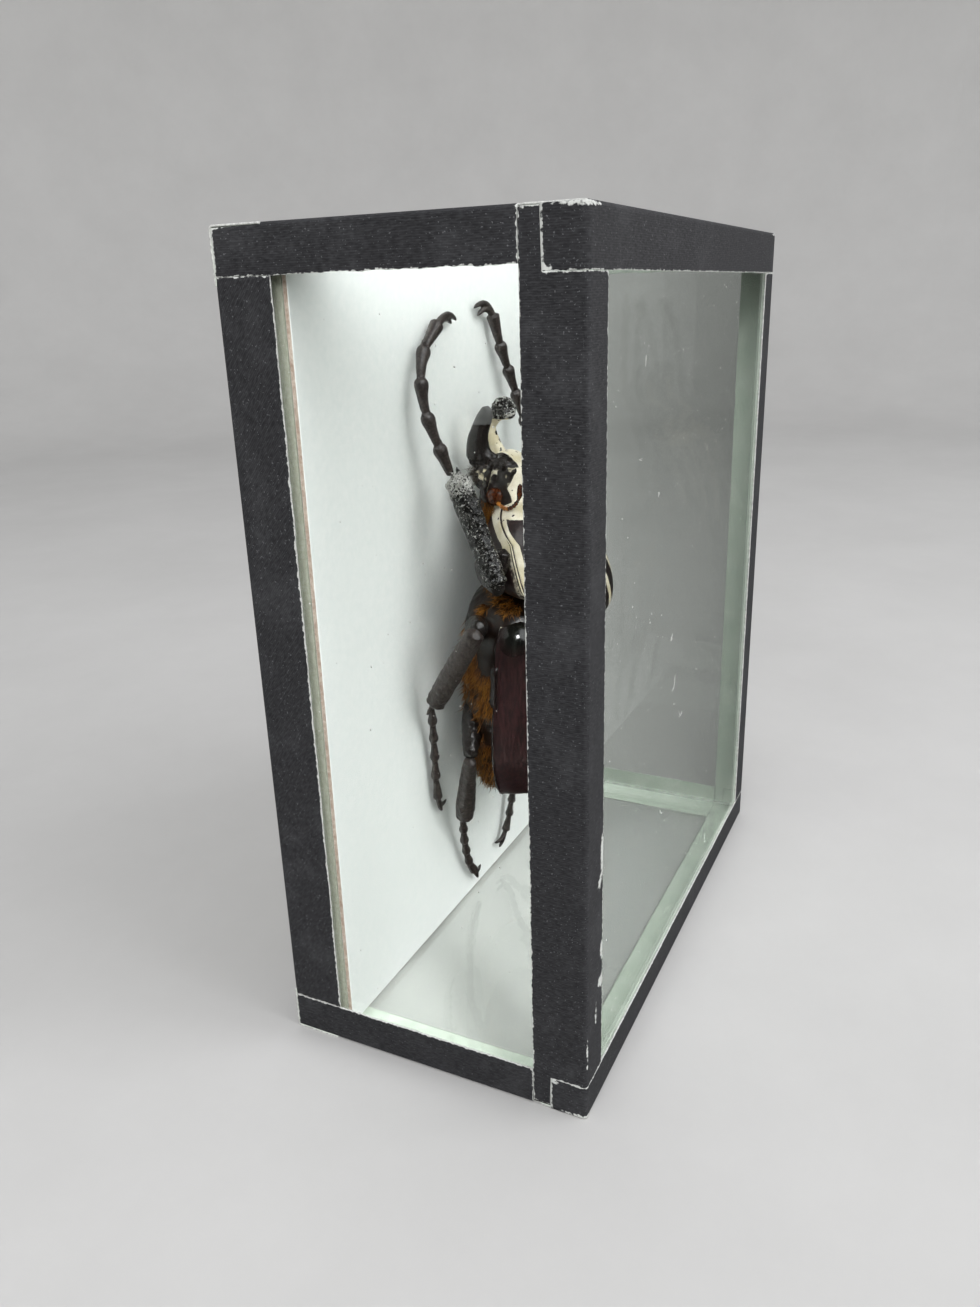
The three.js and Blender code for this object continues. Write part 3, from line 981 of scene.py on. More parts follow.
@dataclass
class TapeStrip:
    """A strip of tape stuck round one edge of the case.

    Distances across it are negative on its first face, zero at the fold and positive on its second face.
    """

    node: str
    corner: Place
    along: Place
    first: Place
    second: Place
    spans: Sequence[Span]
    seed: int
    weave: Weave = Weave.CROSS
    # How far its long edges and its cut ends stray
    fray: float = 0.12
    tear: float = 0.12
    thickness: float = 0.3
    fold_radius: float = 0.8
    # Spacing of the mesh along the strip, across it, and from each edge inwards
    step: float = 0.7
    cross_step: float = 1.5
    edge_steps: Sequence[float] = (0.0, 0.2, 0.5)
    fold_wear: float = 0.5
    worn: Sequence[Rub] = ()

    def columns(self) -> Array:
        """Places across the strip, close together at its edges, its fold and where its length changes.

        Returns:
            Distances across, in order.
        """
        radius = self.fold_radius
        places = list(np.linspace(-radius, radius, 9))
        for span in self.spans:
            for edge, inward in ((span.start, 1), (span.end, -1)):
                places += [edge + step * inward for step in self.edge_steps]
            places += list(np.arange(span.start + 1.2, span.end - 1.0, self.cross_step))
        places = np.unique(np.round(places, 3))
        return places[(places >= self.spans[0].start) & (places <= self.spans[-1].end)]

    def limits(self, across: float) -> Pair:
        """Where the strip starts and ends along the edge, at a distance across it."""
        near = [s for s in self.spans if s.start - 1e-6 <= across <= s.end + 1e-6]
        return min(s.low for s in near), max(s.high for s in near)

    def lie(self, along: Array, across: Array) -> Array:
        """Lay the strip's own distances onto the faces of the case.

        Args:
            along: Distances along the edge.
            across: Distances across the strip.

        Returns:
            Points of the strip's outer surface.
        """
        radius = self.fold_radius
        turn = (np.clip(across, -radius, radius) + radius) / (2 * radius) * math.pi / 2
        on_first = radius - radius * np.sin(turn) + np.maximum(-across - radius, 0.0)
        on_second = radius - radius * np.cos(turn) + np.maximum(across - radius, 0.0)
        return (
            np.array(self.corner)
            + along[..., None] * np.array(self.along)
            + on_first[..., None] * np.array(self.first)
            + on_second[..., None] * np.array(self.second)
        )

    def ragged(self, distances: Array, amount: float, seed: int) -> Array:
        """How far a cut edge strays.

        Args:
            distances: Places along the edge.
            amount: The furthest that it strays.
            seed: Which edge.

        Returns:
            How far it strays at each place.
        """
        aside = [np.full_like(distances, value) for value in (3.7, 9.1)]
        at = np.stack([distances, *aside], -1).reshape(-1, 3)
        stray = blobs(at, 0.9, self.seed + seed) * 0.6 + blobs(at, 4.0, self.seed + seed + 1) * 0.4
        return amount * stray.reshape(distances.shape)

    def build(self) -> Object:
        """Make the strip: cloth outside, gummed paper inside and torn core at its edges.

        Returns:
            The strip's object.
        """
        columns = self.columns()
        low, high = min(s.low for s in self.spans), max(s.high for s in self.spans)
        ends = sorted({value for s in self.spans for value in (s.low, s.high)})
        rows = np.unique(np.round([*np.arange(low, high, self.step), *ends], 3))
        across = np.repeat(columns[None], len(rows), 0)
        along = np.repeat(rows[:, None], len(columns), 1)
        starts, stops = np.array([self.limits(w) for w in columns]).T
        starts = starts + self.ragged(columns, self.tear, 5)
        stops = stops - self.ragged(columns, self.tear, 6)
        along = np.clip(along, starts, stops)
        edge_low = self.spans[0].start + self.ragged(along[:, 0], self.fray, 7)
        edge_high = self.spans[-1].end - self.ragged(along[:, -1], self.fray, 8)
        across = np.clip(across, edge_low[:, None], edge_high[:, None])
        across[:, 0], across[:, -1] = edge_low, edge_high
        draft = Draft.sheet(self.lie(along, across))
        sides = np.minimum(across - edge_low[:, None], edge_high[:, None] - across)
        lengths = np.minimum(along - starts, stops - along)
        draft.paint = {
            "lay": np.stack([along.ravel(), across.ravel(), np.full(along.size, float(self.seed))], 1),
            "rim": np.minimum(sides, lengths).ravel(),
            "wear": self.wear(along, across).ravel(),
        }
        piece = add_piece(
            self.node + "_strip",
            self.tidied(draft),
            [BookCloth(self.weave), GummedPaper(), TornPaper()],
            self.node,
            in_case,
        )
        shell = thicken(piece, self.thickness)
        shell.material_offset = 1
        shell.material_offset_rim = 2
        return piece

    def wear(self, along: Array, across: Array) -> Array:
        """How rubbed the strip is: a little all along its fold, more at its worn places.

        Args:
            along: Distances along the edge.
            across: Distances across the strip.

        Returns:
            Wear, white from about 1.
        """
        rubbed = self.fold_wear * (1.0 - rise(np.abs(across), 0.2, 1.0))
        for rub in self.worn:
            spot = bell(along, rub.along, rub.length) * bell(across, rub.across, rub.width)
            rubbed = np.maximum(rubbed, rub.amount * spot)
        return rubbed

    def tidied(self, draft: Draft) -> Draft:
        """Drop the faces that the shorter stretches fold to nothing, and turn the cloth side out.

        Args:
            draft: The strip's sheet.

        Returns:
            The sheet without them.
        """
        corner = draft.points[draft.quads]
        facing = np.cross(corner[:, 2] - corner[:, 0], corner[:, 3] - corner[:, 1])
        quads = draft.quads[np.linalg.norm(facing, axis=1) > 1e-4]
        used = np.unique(quads)
        order = np.full(len(draft.points), -1)
        order[used] = np.arange(len(used))
        kept = Draft(draft.points[used], order[quads], paint={k: v[used] for k, v in draft.paint.items()})
        outward = kept.points - np.array([0.0, 0.0, (BASE + TOP) / 2])
        if (kept.normals() * outward).sum() < 0:
            kept.flip()
        return kept


@dataclass
class FrontTape(TapeStrip):
    """A strip along the top or the bottom of the front, whose ends fold round onto the side panes."""

    side_radius: float = 0.8

    def lie(self, along: Array, across: Array) -> Array:
        """Lay the strip on the case, with what runs past a corner turned onto the side.

        Args:
            along: Distances along the front from its middle.
            across: Distances across the strip.

        Returns:
            Points of the strip's outer surface.
        """
        half = (RIGHT - LEFT) / 2
        radius = self.side_radius
        reach = np.abs(along)
        flat = super().lie(np.clip(along, -half, half), across)
        turn = np.clip((reach - half + radius) / (2 * radius), 0.0, 1.0) * math.pi / 2
        back = radius - radius * np.cos(turn) + np.maximum(reach - half - radius, 0.0)
        sideways = half - radius + radius * np.sin(turn)
        round_side = (reach > half - radius) & (across < -0.1)
        height = self.corner[2] - across * self.first[2]
        folded = np.stack([np.sign(along) * sideways, FRONT + back, height], -1)
        return np.where(round_side[..., None], folded, flat)


@dataclass
class Case:
    """The glass box: panes, board and tape."""

    # Width of each tape on its first face and on its second
    upright_left: Pair = (10.3, 7.6)
    upright_right: Pair = (9.2, 8.0)
    rear_upright: Pair = (10.9, 8.1)
    lid_side: Pair = (7.6, 10.8)
    floor_left: Pair = (7.8, 10.2)
    floor_right: Pair = (7.2, 9.4)
    lid_front: Pair = (8.7, 9.8)
    floor_front: Pair = (7.0, 9.2)
    lid_back: Pair = (9.0, 9.6)
    floor_back: Pair = (9.0, 9.6)
    # How far the front tapes run round onto the sides, and how far above the base the uprights start
    end_fold: float = 7.0
    upright_lift: float = 1.0
    # Gap between tapes that meet, and how far a tape stays short of an edge that it doesn't go round
    seam: float = 0.1
    wrap: float = 0.4
    card_bevel: float = 0.12

    def build(self) -> None:
        """Make every piece of the case."""
        self.dress_panes()
        self.build_board()
        for strip in [*self.side_strips(), *self.cross_strips()]:
            strip.build()

    def dress_panes(self) -> None:
        """Give the panes their glass, without a shadow and unseen in what mirrors them."""
        for side in ("front", "left", "right", "top", "bottom"):
            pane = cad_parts[f"pane_{side}"]
            pane.data.materials.clear()
            pane.data.materials.append(material_of(FloatGlass()))
            pane.visible_shadow = False
            pane.visible_glossy = False
            LOG.info("pane_%s: glass", side)

    def build_board(self) -> None:
        """Make the white card and the foam slab behind it, with their edges eased."""
        for node, finishes, slot in (
            ("face_card", [CoatedCard(), CardCore()], Slot.CARD),
            ("backboard", [SlabFoam(), SlabFoam()], Slot.FOAM),
        ):
            low, high = (np.array(corner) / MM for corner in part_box(node))
            turn = np.array([[0, 0], [1, 0], [1, 1], [0, 1]], float)
            rings = []
            bevel = self.card_bevel
            for lie, inset in ((low[1], 1), (low[1] + bevel, 0), (high[1] - bevel, 0), (high[1], 1)):
                square = low[[0, 2]] + (high - low)[[0, 2]] * turn
                square += (0.5 - turn) * 2 * bevel * inset
                rings.append(np.stack([square[:, 0], np.full(4, lie), square[:, 1]], 1))
            rings = np.array(rings)
            middles = rings[[0, -1]].mean(1)
            draft = Draft.closed(rings, middles[0], middles[1])
            piece = add_piece(f"{node}_sheet", draft, finishes, node, in_case)
            for face in piece.data.polygons:
                face.use_smooth = False
                face.material_index = int(abs(face.normal.y) < 0.5)

    def side_strips(self) -> list[TapeStrip]:
        """The uprights, and the strips along the sides of the lid and the floor.

        Returns:
            The strips of both sides.
        """
        strips = []
        for side, edge, inward in ((Side.LEFT, LEFT, 1.0), (Side.RIGHT, RIGHT, -1.0)):
            left = side is Side.LEFT
            across = (inward, 0.0, 0.0)
            on_side, on_front = self.upright_left if left else self.upright_right
            fold = self.end_fold + self.seam
            top_cut, base_cut = TOP - self.lid_front[0] - self.seam, self.floor_front[0] + self.seam
            strips.append(TapeStrip(
                f"tape_front_{side.word}", (edge, FRONT, 0.0), (0.0, 0.0, 1.0), (0.0, 1.0, 0.0), across,
                [
                    Span(-on_side, -fold, self.upright_lift, TOP - self.wrap),
                    Span(-fold, on_front, base_cut, top_cut),
                ],
                seed=11 + side.value,
                fold_wear=0.4,
                worn=[
                    Rub(51.0, on_front - 0.4, 4.5, 0.9, 1.7),
                    Rub(46.0, on_front - 1.8, 1.8, 1.0, 1.6),
                    Rub(38.0, on_front, 14.0, 0.5, 1.0),
                    Rub(32.0, on_front - 0.4, 2.4, 0.8, 1.7),
                    Rub(25.6, on_front - 0.7, 1.4, 1.2, 2.0),
                    Rub(20.0, on_front - 2.8, 3.6, 0.6, 1.2),
                    Rub(14.0, 0.4, 6.0, 0.5, 1.0),
                ] if left else (),
            ))
            on_side, on_back = self.rear_upright
            low_side = self.floor_left[0] if left else self.floor_right[0]
            base_cut, top_cut = self.floor_back[0] + self.seam, TOP - self.lid_back[0] - self.seam
            strips.append(TapeStrip(
                f"tape_back_{side.word}", (edge, BACK, 0.0), (0.0, 0.0, 1.0), (0.0, -1.0, 0.0), across,
                [
                    Span(-on_side, -self.wrap, low_side + self.seam, TOP - self.lid_side[0] - self.seam),
                    Span(-self.wrap, on_back, base_cut, top_cut),
                ],
                seed=21 + side.value,
                weave=Weave.TWILL,
                fray=0.22,
            ))
            strips += self.lid_and_floor(side, edge, across)
        return strips

    def lid_and_floor(self, side: Side, edge: float, across: Place) -> list[TapeStrip]:
        """The strips along one side of the lid and of the floor.

        Args:
            side: Which side.
            edge: Where that side of the case is.
            across: Direction from the edge to the middle of the case.

        Returns:
            The strip of the lid and the strip of the floor.
        """
        left = side is Side.LEFT
        upright = self.upright_left[0] if left else self.upright_right[0]
        forward = (0.0, 1.0, 0.0)
        end = BACK - self.wrap
        on_side, on_top = self.lid_side
        start = FRONT + max(upright, self.lid_front[1]) + self.seam
        lid = TapeStrip(
            f"tape_top_{side.word}", (edge, 0.0, TOP), forward, (0.0, 0.0, -1.0), across,
            [
                Span(-on_side, -self.wrap, start, end),
                Span(-self.wrap, on_top, start, BACK - self.lid_back[1] - self.seam),
            ],
            seed=31 + side.value,
            weave=Weave.LONG,
            fray=0.34,
            worn=[Rub(end, 0.0, 3.0, 1.0, 1.5), Rub(end, -on_side / 2, 0.4, on_side, 1.4)],
        )
        on_side, under = self.floor_left if left else self.floor_right
        start = FRONT + max(upright, self.floor_front[1]) + self.seam
        floor = TapeStrip(
            f"tape_bottom_{side.word}", (edge, 0.0, BASE), forward, (0.0, 0.0, 1.0), across,
            [
                Span(-on_side, -self.wrap, start, end),
                Span(-self.wrap, under, start, BACK - self.floor_back[1] - self.seam),
            ],
            seed=41 + side.value,
            weave=Weave.LONG,
            fray=0.16,
        )
        return [lid, floor]

    def cross_strips(self) -> list[TapeStrip]:
        """The strips across the front and the back, at the lid and at the floor.

        Returns:
            The four strips.
        """
        strips = []
        line = (1.0, 0.0, 0.0)
        half = (RIGHT - LEFT) / 2
        for word, height, inward in (("top", TOP, -1.0), ("bottom", BASE, 1.0)):
            front, front_level = self.lid_front if word == "top" else self.floor_front
            back, back_level = self.lid_back if word == "top" else self.floor_back
            strips.append(FrontTape(
                f"tape_{word}_front", (0.0, FRONT, height), line, (0.0, 0.0, inward), (0.0, 1.0, 0.0),
                [
                    Span(-front, -0.2, -half - self.end_fold, half + self.end_fold),
                    Span(-0.2, front_level, -half + self.wrap, half - self.wrap),
                ],
                seed=51 if word == "top" else 61,
                tear=0.35,
                weave=Weave.LONG,
                worn=[
                    Rub(-half - self.end_fold, -front / 2, 0.5, front, 1.5),
                    Rub(-half - self.end_fold + 0.6, -front + 0.4, 1.2, 0.7, 1.6),
                    Rub(-half, -0.3, 7.0, 0.7, 1.25),
                    Rub(half, -0.3, 5.0, 0.7, 1.1),
                ],
            ))
            strips.append(TapeStrip(
                f"tape_{word}_back", (0.0, BACK, height), line, (0.0, 0.0, inward), (0.0, -1.0, 0.0),
                [Span(-back, back_level, -half, half)],
                seed=71 if word == "top" else 81,
                weave=Weave.LONG,
            ))
        return strips


def fullness(along: Array, squareness: float) -> Array:
    """How full a body is from end to end: 0 at its ends, 1 in the middle, squarer with a larger number."""
    return np.clip(1.0 - np.abs(along) ** squareness, 0.0, None) ** 0.45


def painted(draft: Draft, bloom: Array | float = 0.0, gloss: Array | float = 0.0) -> Draft:
    """Paint a shell's points.

    Args:
        draft: The shell.
        bloom: How much bloom lies on it, from 0 to 1.
        gloss: How smooth it is, from 0 to 1.

    Returns:
        The same shell.
    """
    ones = np.ones(len(draft.points))
    draft.paint = {"bloom": np.clip(ones * bloom, 0.0, 1.0), "gloss": np.clip(ones * gloss, 0.0, 1.0)}
    return draft


@dataclass
class HairCoat:
    """Hairs that grow from a patch of shell."""

    length: float
    seed: int
    # Real hairs are about a third as thick, too fine to show, so they are drawn coarser.
    radius: float = 0.055
    spread: float = 0.22
    droop: float = 0.18
    # Where along it a hair bends
    bend: float = 0.55

    def grow(self, roots: Array, flow: Array) -> Draft:
        """Grow one hair from each root.

        Args:
            roots: Where the hairs start.
            flow: Which way each hair lies.

        Returns:
            The hairs, each a closed, pointed prism.
        """
        chance = np.random.default_rng(self.seed)
        count = len(roots)
        aim = unit(unit(flow) + chance.normal(0, self.spread, (count, 3)))
        length = (self.length * chance.uniform(0.55, 1.2, count))[:, None]
        upright = np.where(np.abs(aim[:, 2:3]) < 0.9, [[0.0, 0.0, 1.0]], [[1.0, 0.0, 0.0]])
        across = unit(np.cross(aim, upright))
        through = np.cross(aim, across)
        sag = chance.normal(0, self.droop, (count, 3)) * length
        turn = np.arange(3) * 2 * math.pi / 3
        ring = across[:, None] * np.cos(turn)[None, :, None] + through[:, None] * np.sin(turn)[None, :, None]
        low = roots[:, None] + ring * self.radius
        middle = (roots + aim * length * self.bend + sag * 0.3)[:, None] + ring * self.radius * 0.7
        tip = (roots + aim * length + sag)[:, None]
        points = np.concatenate([low, middle, tip], 1).reshape(-1, 3)
        # Three corners at the root, three at the bend and one at the tip
        corners = 7
        faces = [(0, 1, 2)]
        for k in range(3):
            after = (k + 1) % 3
            faces += [(k, 3 + after, after), (k, 3 + k, 3 + after), (3 + k, 6, 3 + after)]
        tris = (np.array(faces)[None] + np.arange(count)[:, None, None] * corners).reshape(-1, 3)
        paint = {
            "reach": np.tile([*[0.0] * 3, *[self.bend] * 3, 1.0], count),
            "shade": np.repeat(chance.uniform(0.0, 1.0, count) ** 1.6, corners),
        }
        return Draft(points, tris=tris, paint=paint)


@dataclass(frozen=True)
class BackShape:
    """Outline of the beetle's back, which the wing cases and the trunk under them share."""

    tip: float = -45.2
    base: float = 4.2
    half_width: float = 20.3
    taper: float = 0.06
    rim_tip: float = 8.6
    rim_rise: float = 5.6
    top: float = 27.5
    card_gap: float = 0.4
    tuck: float = 0.15

    def surface(self, along: Array, turn: Array, inset: float = 0.0, reach: float = 0.0) -> Array:
        """Points of the back.

        Args:
            along: From -1 at the tail to 1 at the base.
            turn: Angle from the middle of the back round to the belly.
            inset: How far inside the outline.
            reach: How much further the base goes.

        Returns:
            Points, in the shape that along and turn make together.
        """
        across, up = np.sin(turn), np.cos(turn)
        full = np.where(along > 0, fullness(along, 5.0), fullness(along, 2.5))
        share = (1 + along) / 2
        tip, base = self.tip + inset, self.base + reach
        rim = self.rim_tip + self.rim_rise * share ** 0.45
        belly = np.clip(-up, 0.0, None)
        x = across * (self.half_width * (1 + self.taper * along) - inset) * full * (1 - self.tuck * belly)
        y = tip + (base - tip) * share
        drop = (rim - self.card_gap) * belly ** 0.8 * np.sqrt(full)
        z = rim + (self.top - rim - inset) * np.clip(up, 0.0, None) * full - drop
        return np.stack(np.broadcast_arrays(x, y, z), -1)


@dataclass
class WingCases:
    """The two wing cases and the shield between their bases."""

    shape: BackShape = BackShape(tip=-44.0)
    thickness: float = 0.9
    gap: float = 0.24
    rows: int = 110
    columns: int = 64
    curl: float = 0.4
    # Angle of the rim from the middle of the back in degrees, and of the lip that curls under it in radians
    margin: float = 84.5
    lip: float = 0.2
    shield_half: float = 5.0
    shield_base: float = -1.6
    shield_tip: float = -14.2

    def build(self) -> None:
        """Make both wing cases and the shield."""
        for side in Side:
            self.build_case(side)
        self.build_shield()

    def build_case(self, side: Side) -> None:
        """Make one wing case: a bent shell with a shoulder knob, a waist and a raised rim.

        Args:
            side: Which one.
        """
        # More rows where the cream line crosses the base.
        steps = np.sort(np.r_[np.linspace(0.02, 2.9, self.rows), np.linspace(2.45, 2.72, 26)])
        along = -np.cos(steps)[:, None]
        edge = math.radians(self.margin)
        turn = np.linspace(0.0, edge + self.lip, self.columns)[None]
        grid = self.shape.surface(along, np.minimum(turn, edge))
        under = np.maximum(turn - edge, 0.0) / self.lip * self.curl
        grid[..., 0] = (grid[..., 0] + self.gap / 2 - under * 0.8) * side.value
        grid[..., 2] -= under
        draft = Draft.sheet(grid)
        if side is Side.LEFT:
            draft.flip()
        y = grid[..., 1]
        angle = np.degrees(np.repeat(turn, len(along), 0))
        shoulder = bell(y, -1.0, 4.2) * bell(angle, 68.0, 17.0)
        waist = bell(y, -11.5, 5.0) * rise(angle, 45.0, 85.0)
        rim = bell(angle, self.margin + 1.0, 2.0)
        seam = bell(angle, 0.0, 2.4)
        ribs = 0.5 * (bell(angle, 27.0, 4.0) + bell(angle, 48.0, 4.0)) * rise(-y, 6.0, 16.0)
        knob = bell(y, -37.5, 3.5) * bell(angle, 42.0, 13.0)
        lift = 1.0 * shoulder - 0.9 * waist + 0.28 * rim + 0.1 * seam + 0.12 * ribs + 0.5 * knob
        lift = lift.ravel() + 0.035 * blobs(draft.points, 0.7, 5) + 0.12 * blobs(draft.points, 6.0, 9)
        draft.swell(lift)
        base_edge = rise(y, 0.0, 2.5)
        gloss = np.maximum.reduce([rise(shoulder, -0.1, 0.95), 0.9 * rim, 0.8 * base_edge, 0.5 * seam])
        base_line = 0.885 - 0.0001 * (angle - 64.0) ** 2
        cream = 0.9 * bell(along - base_line, 0.0, 0.009) * rise(angle, 46.0, 58.0)
        piece = add_piece(
            f"elytron_{side.word}_shell", painted(draft, cream.ravel(), gloss.ravel()), [VelvetChitin()],
            f"elytron_{side.word}",
        )
        thicken(piece, self.thickness)

    def build_shield(self) -> None:
        """Make the scutellum: a pointed plate, domed across and lying on the wing cases."""
        share = np.linspace(0.0, 1.0, 60)[:, None]
        across = np.linspace(-1.0, 1.0, 40)[None]
        half = self.shield_half * (1 - share ** 1.25) ** 0.9 + 0.12
        x = across * half
        y = self.shield_base + (self.shield_tip - self.shield_base) * share + 0.0 * across
        along = (y - self.shape.tip) / (self.shape.base - self.shape.tip) * 2 - 1
        lie = self.shape.surface(along, np.arcsin(np.clip(x / self.shape.half_width, -1, 1)))
        z = lie[..., 2] + 0.18 + 0.3 * (1 - across ** 4) * (1 - share ** 3)
        draft = Draft.sheet(np.stack(np.broadcast_arrays(x, y, z), -1))
        draft.flip()
        edge = np.maximum(np.abs(across) + 0.0 * share, share + 0.0 * across).ravel()
        cream = rise(edge, 0.72, 0.82) * (1 - rise(edge, 0.93, 0.97))
        piece = add_piece("scutellum_plate", painted(draft, cream, 0.3), [Chitin()], "scutellum")
        thicken(piece, self.thickness)


@dataclass(frozen=True)
class Clump:
    """A patch of hair on a flank: how far it reaches along and round the trunk, and how many hairs it has."""

    start: float
    end: float
    upper: float
    lower: float
    hairs: int


@dataclass
class Trunk:
    """The thorax and the abdomen under the wing cases, with the hair on their flanks."""

    shape: BackShape = BackShape()
    inset: float = 1.7
    reach: float = 2.7
    cut: float = -15.0
    # Where the trunk ends along the back, and half the gap between its parts
    ends: Pair = (-0.997, 0.985)
    half_gap: float = 0.004
    sides: int = 120
    plate: float = 5.6
    clumps: Sequence[Clump] = (
        Clump(0.86, 0.96, 66.0, 100.0, 340),
        Clump(0.78, 0.88, 92.0, 112.0, 200),
        Clump(0.26, 0.6, 88.0, 116.0, 1000),
        Clump(0.0, 0.24, 88.0, 100.0, 260),
        Clump(-0.78, -0.3, 88.0, 112.0, 420),
        Clump(-0.9, 0.7, 88.0, 140.0, 800),
    )

    def build(self) -> None:
        """Make the two parts of the trunk and their hair."""
        tail, base = self.shape.tip + self.inset, self.shape.base + self.reach
        middle = (self.cut - tail) / (base - tail) * 2 - 1
        self.build_part("abdomen", self.ends[0], middle - self.half_gap, 110)
        self.build_part("thorax", middle + self.half_gap, self.ends[1], 90)
        for side in Side:
            self.grow_hair(side)

    def build_part(self, node: str, start: float, end: float, rows: int) -> None:
        """Make one part, closed at both ends.

        Args:
            node: Its name.
            start: Where it starts along the back.
            end: Where it ends.
            rows: How many rings it has.
        """
        along = np.linspace(start, end, rows)[:, None]
        turn = circle(self.sides)[None]
        rings = self.shape.surface(along, turn, self.inset, self.reach)
        draft = Draft.closed(rings, rings[0].mean(0), rings[-1].mean(0))
        x, y, z = draft.points.T
        angle = np.degrees(np.arctan2(np.abs(x), z - 12.0))
        belly = rise(angle, 88.0, 100.0)
        if node == "abdomen":
            # Each belly plate laps over the next, with a step at its rear edge.
            lap = ((y - self.cut) / self.plate) % 1.0
            lift = belly * (0.45 * rise(lap, 0.0, 0.12) * (1 - 0.6 * lap) - 0.2)
        else:
            slant = y + 0.35 * z
            lift = -0.5 * belly * (bell(slant, 1.5, 0.45) + bell(slant, -7.0, 0.4))
        lift = lift + 0.12 * blobs(draft.points, 1.3, 3) + 0.05 * blobs(draft.points, 0.6, 4)
        caps = np.r_[np.ones(len(lift) - 2), 0.0, 0.0]
        draft.swell(lift * caps)
        add_piece(f"{node}_shell", painted(draft, 0.0, 0.2 * belly), [BrownChitin()], node)

    def grow_hair(self, side: Side) -> None:
        """Grow golden hair on one flank, thickest under the edge of the wing case.

        Args:
            side: Which flank.
        """
        chance = np.random.default_rng(40 + side.value)
        along = np.hstack([chance.uniform(c.start, c.end, c.hairs) for c in self.clumps])
        turn = np.radians(np.hstack([chance.uniform(c.upper, c.lower, c.hairs) for c in self.clumps]))
        roots = self.shape.surface(along, turn, self.inset, self.reach)
        tailward = self.shape.surface(along - 0.02, turn, self.inset, self.reach) - roots
        around = self.shape.surface(along, turn + 0.02, self.inset, self.reach) - roots
        out = np.cross(tailward, around)
        flow = unit(tailward) + 0.4 * unit(out * np.sign(out[:, :1]))
        roots[:, 0] *= side.value
        flow[:, 0] *= side.value
        patch = blobs(roots, 5.0, 21) > -0.35
        draft = HairCoat(2.6, 41 + side.value, radius=0.09).grow(roots[patch], flow[patch])
        add_piece(f"trunk_{side.word}_hair", draft, [Bristle()], None)


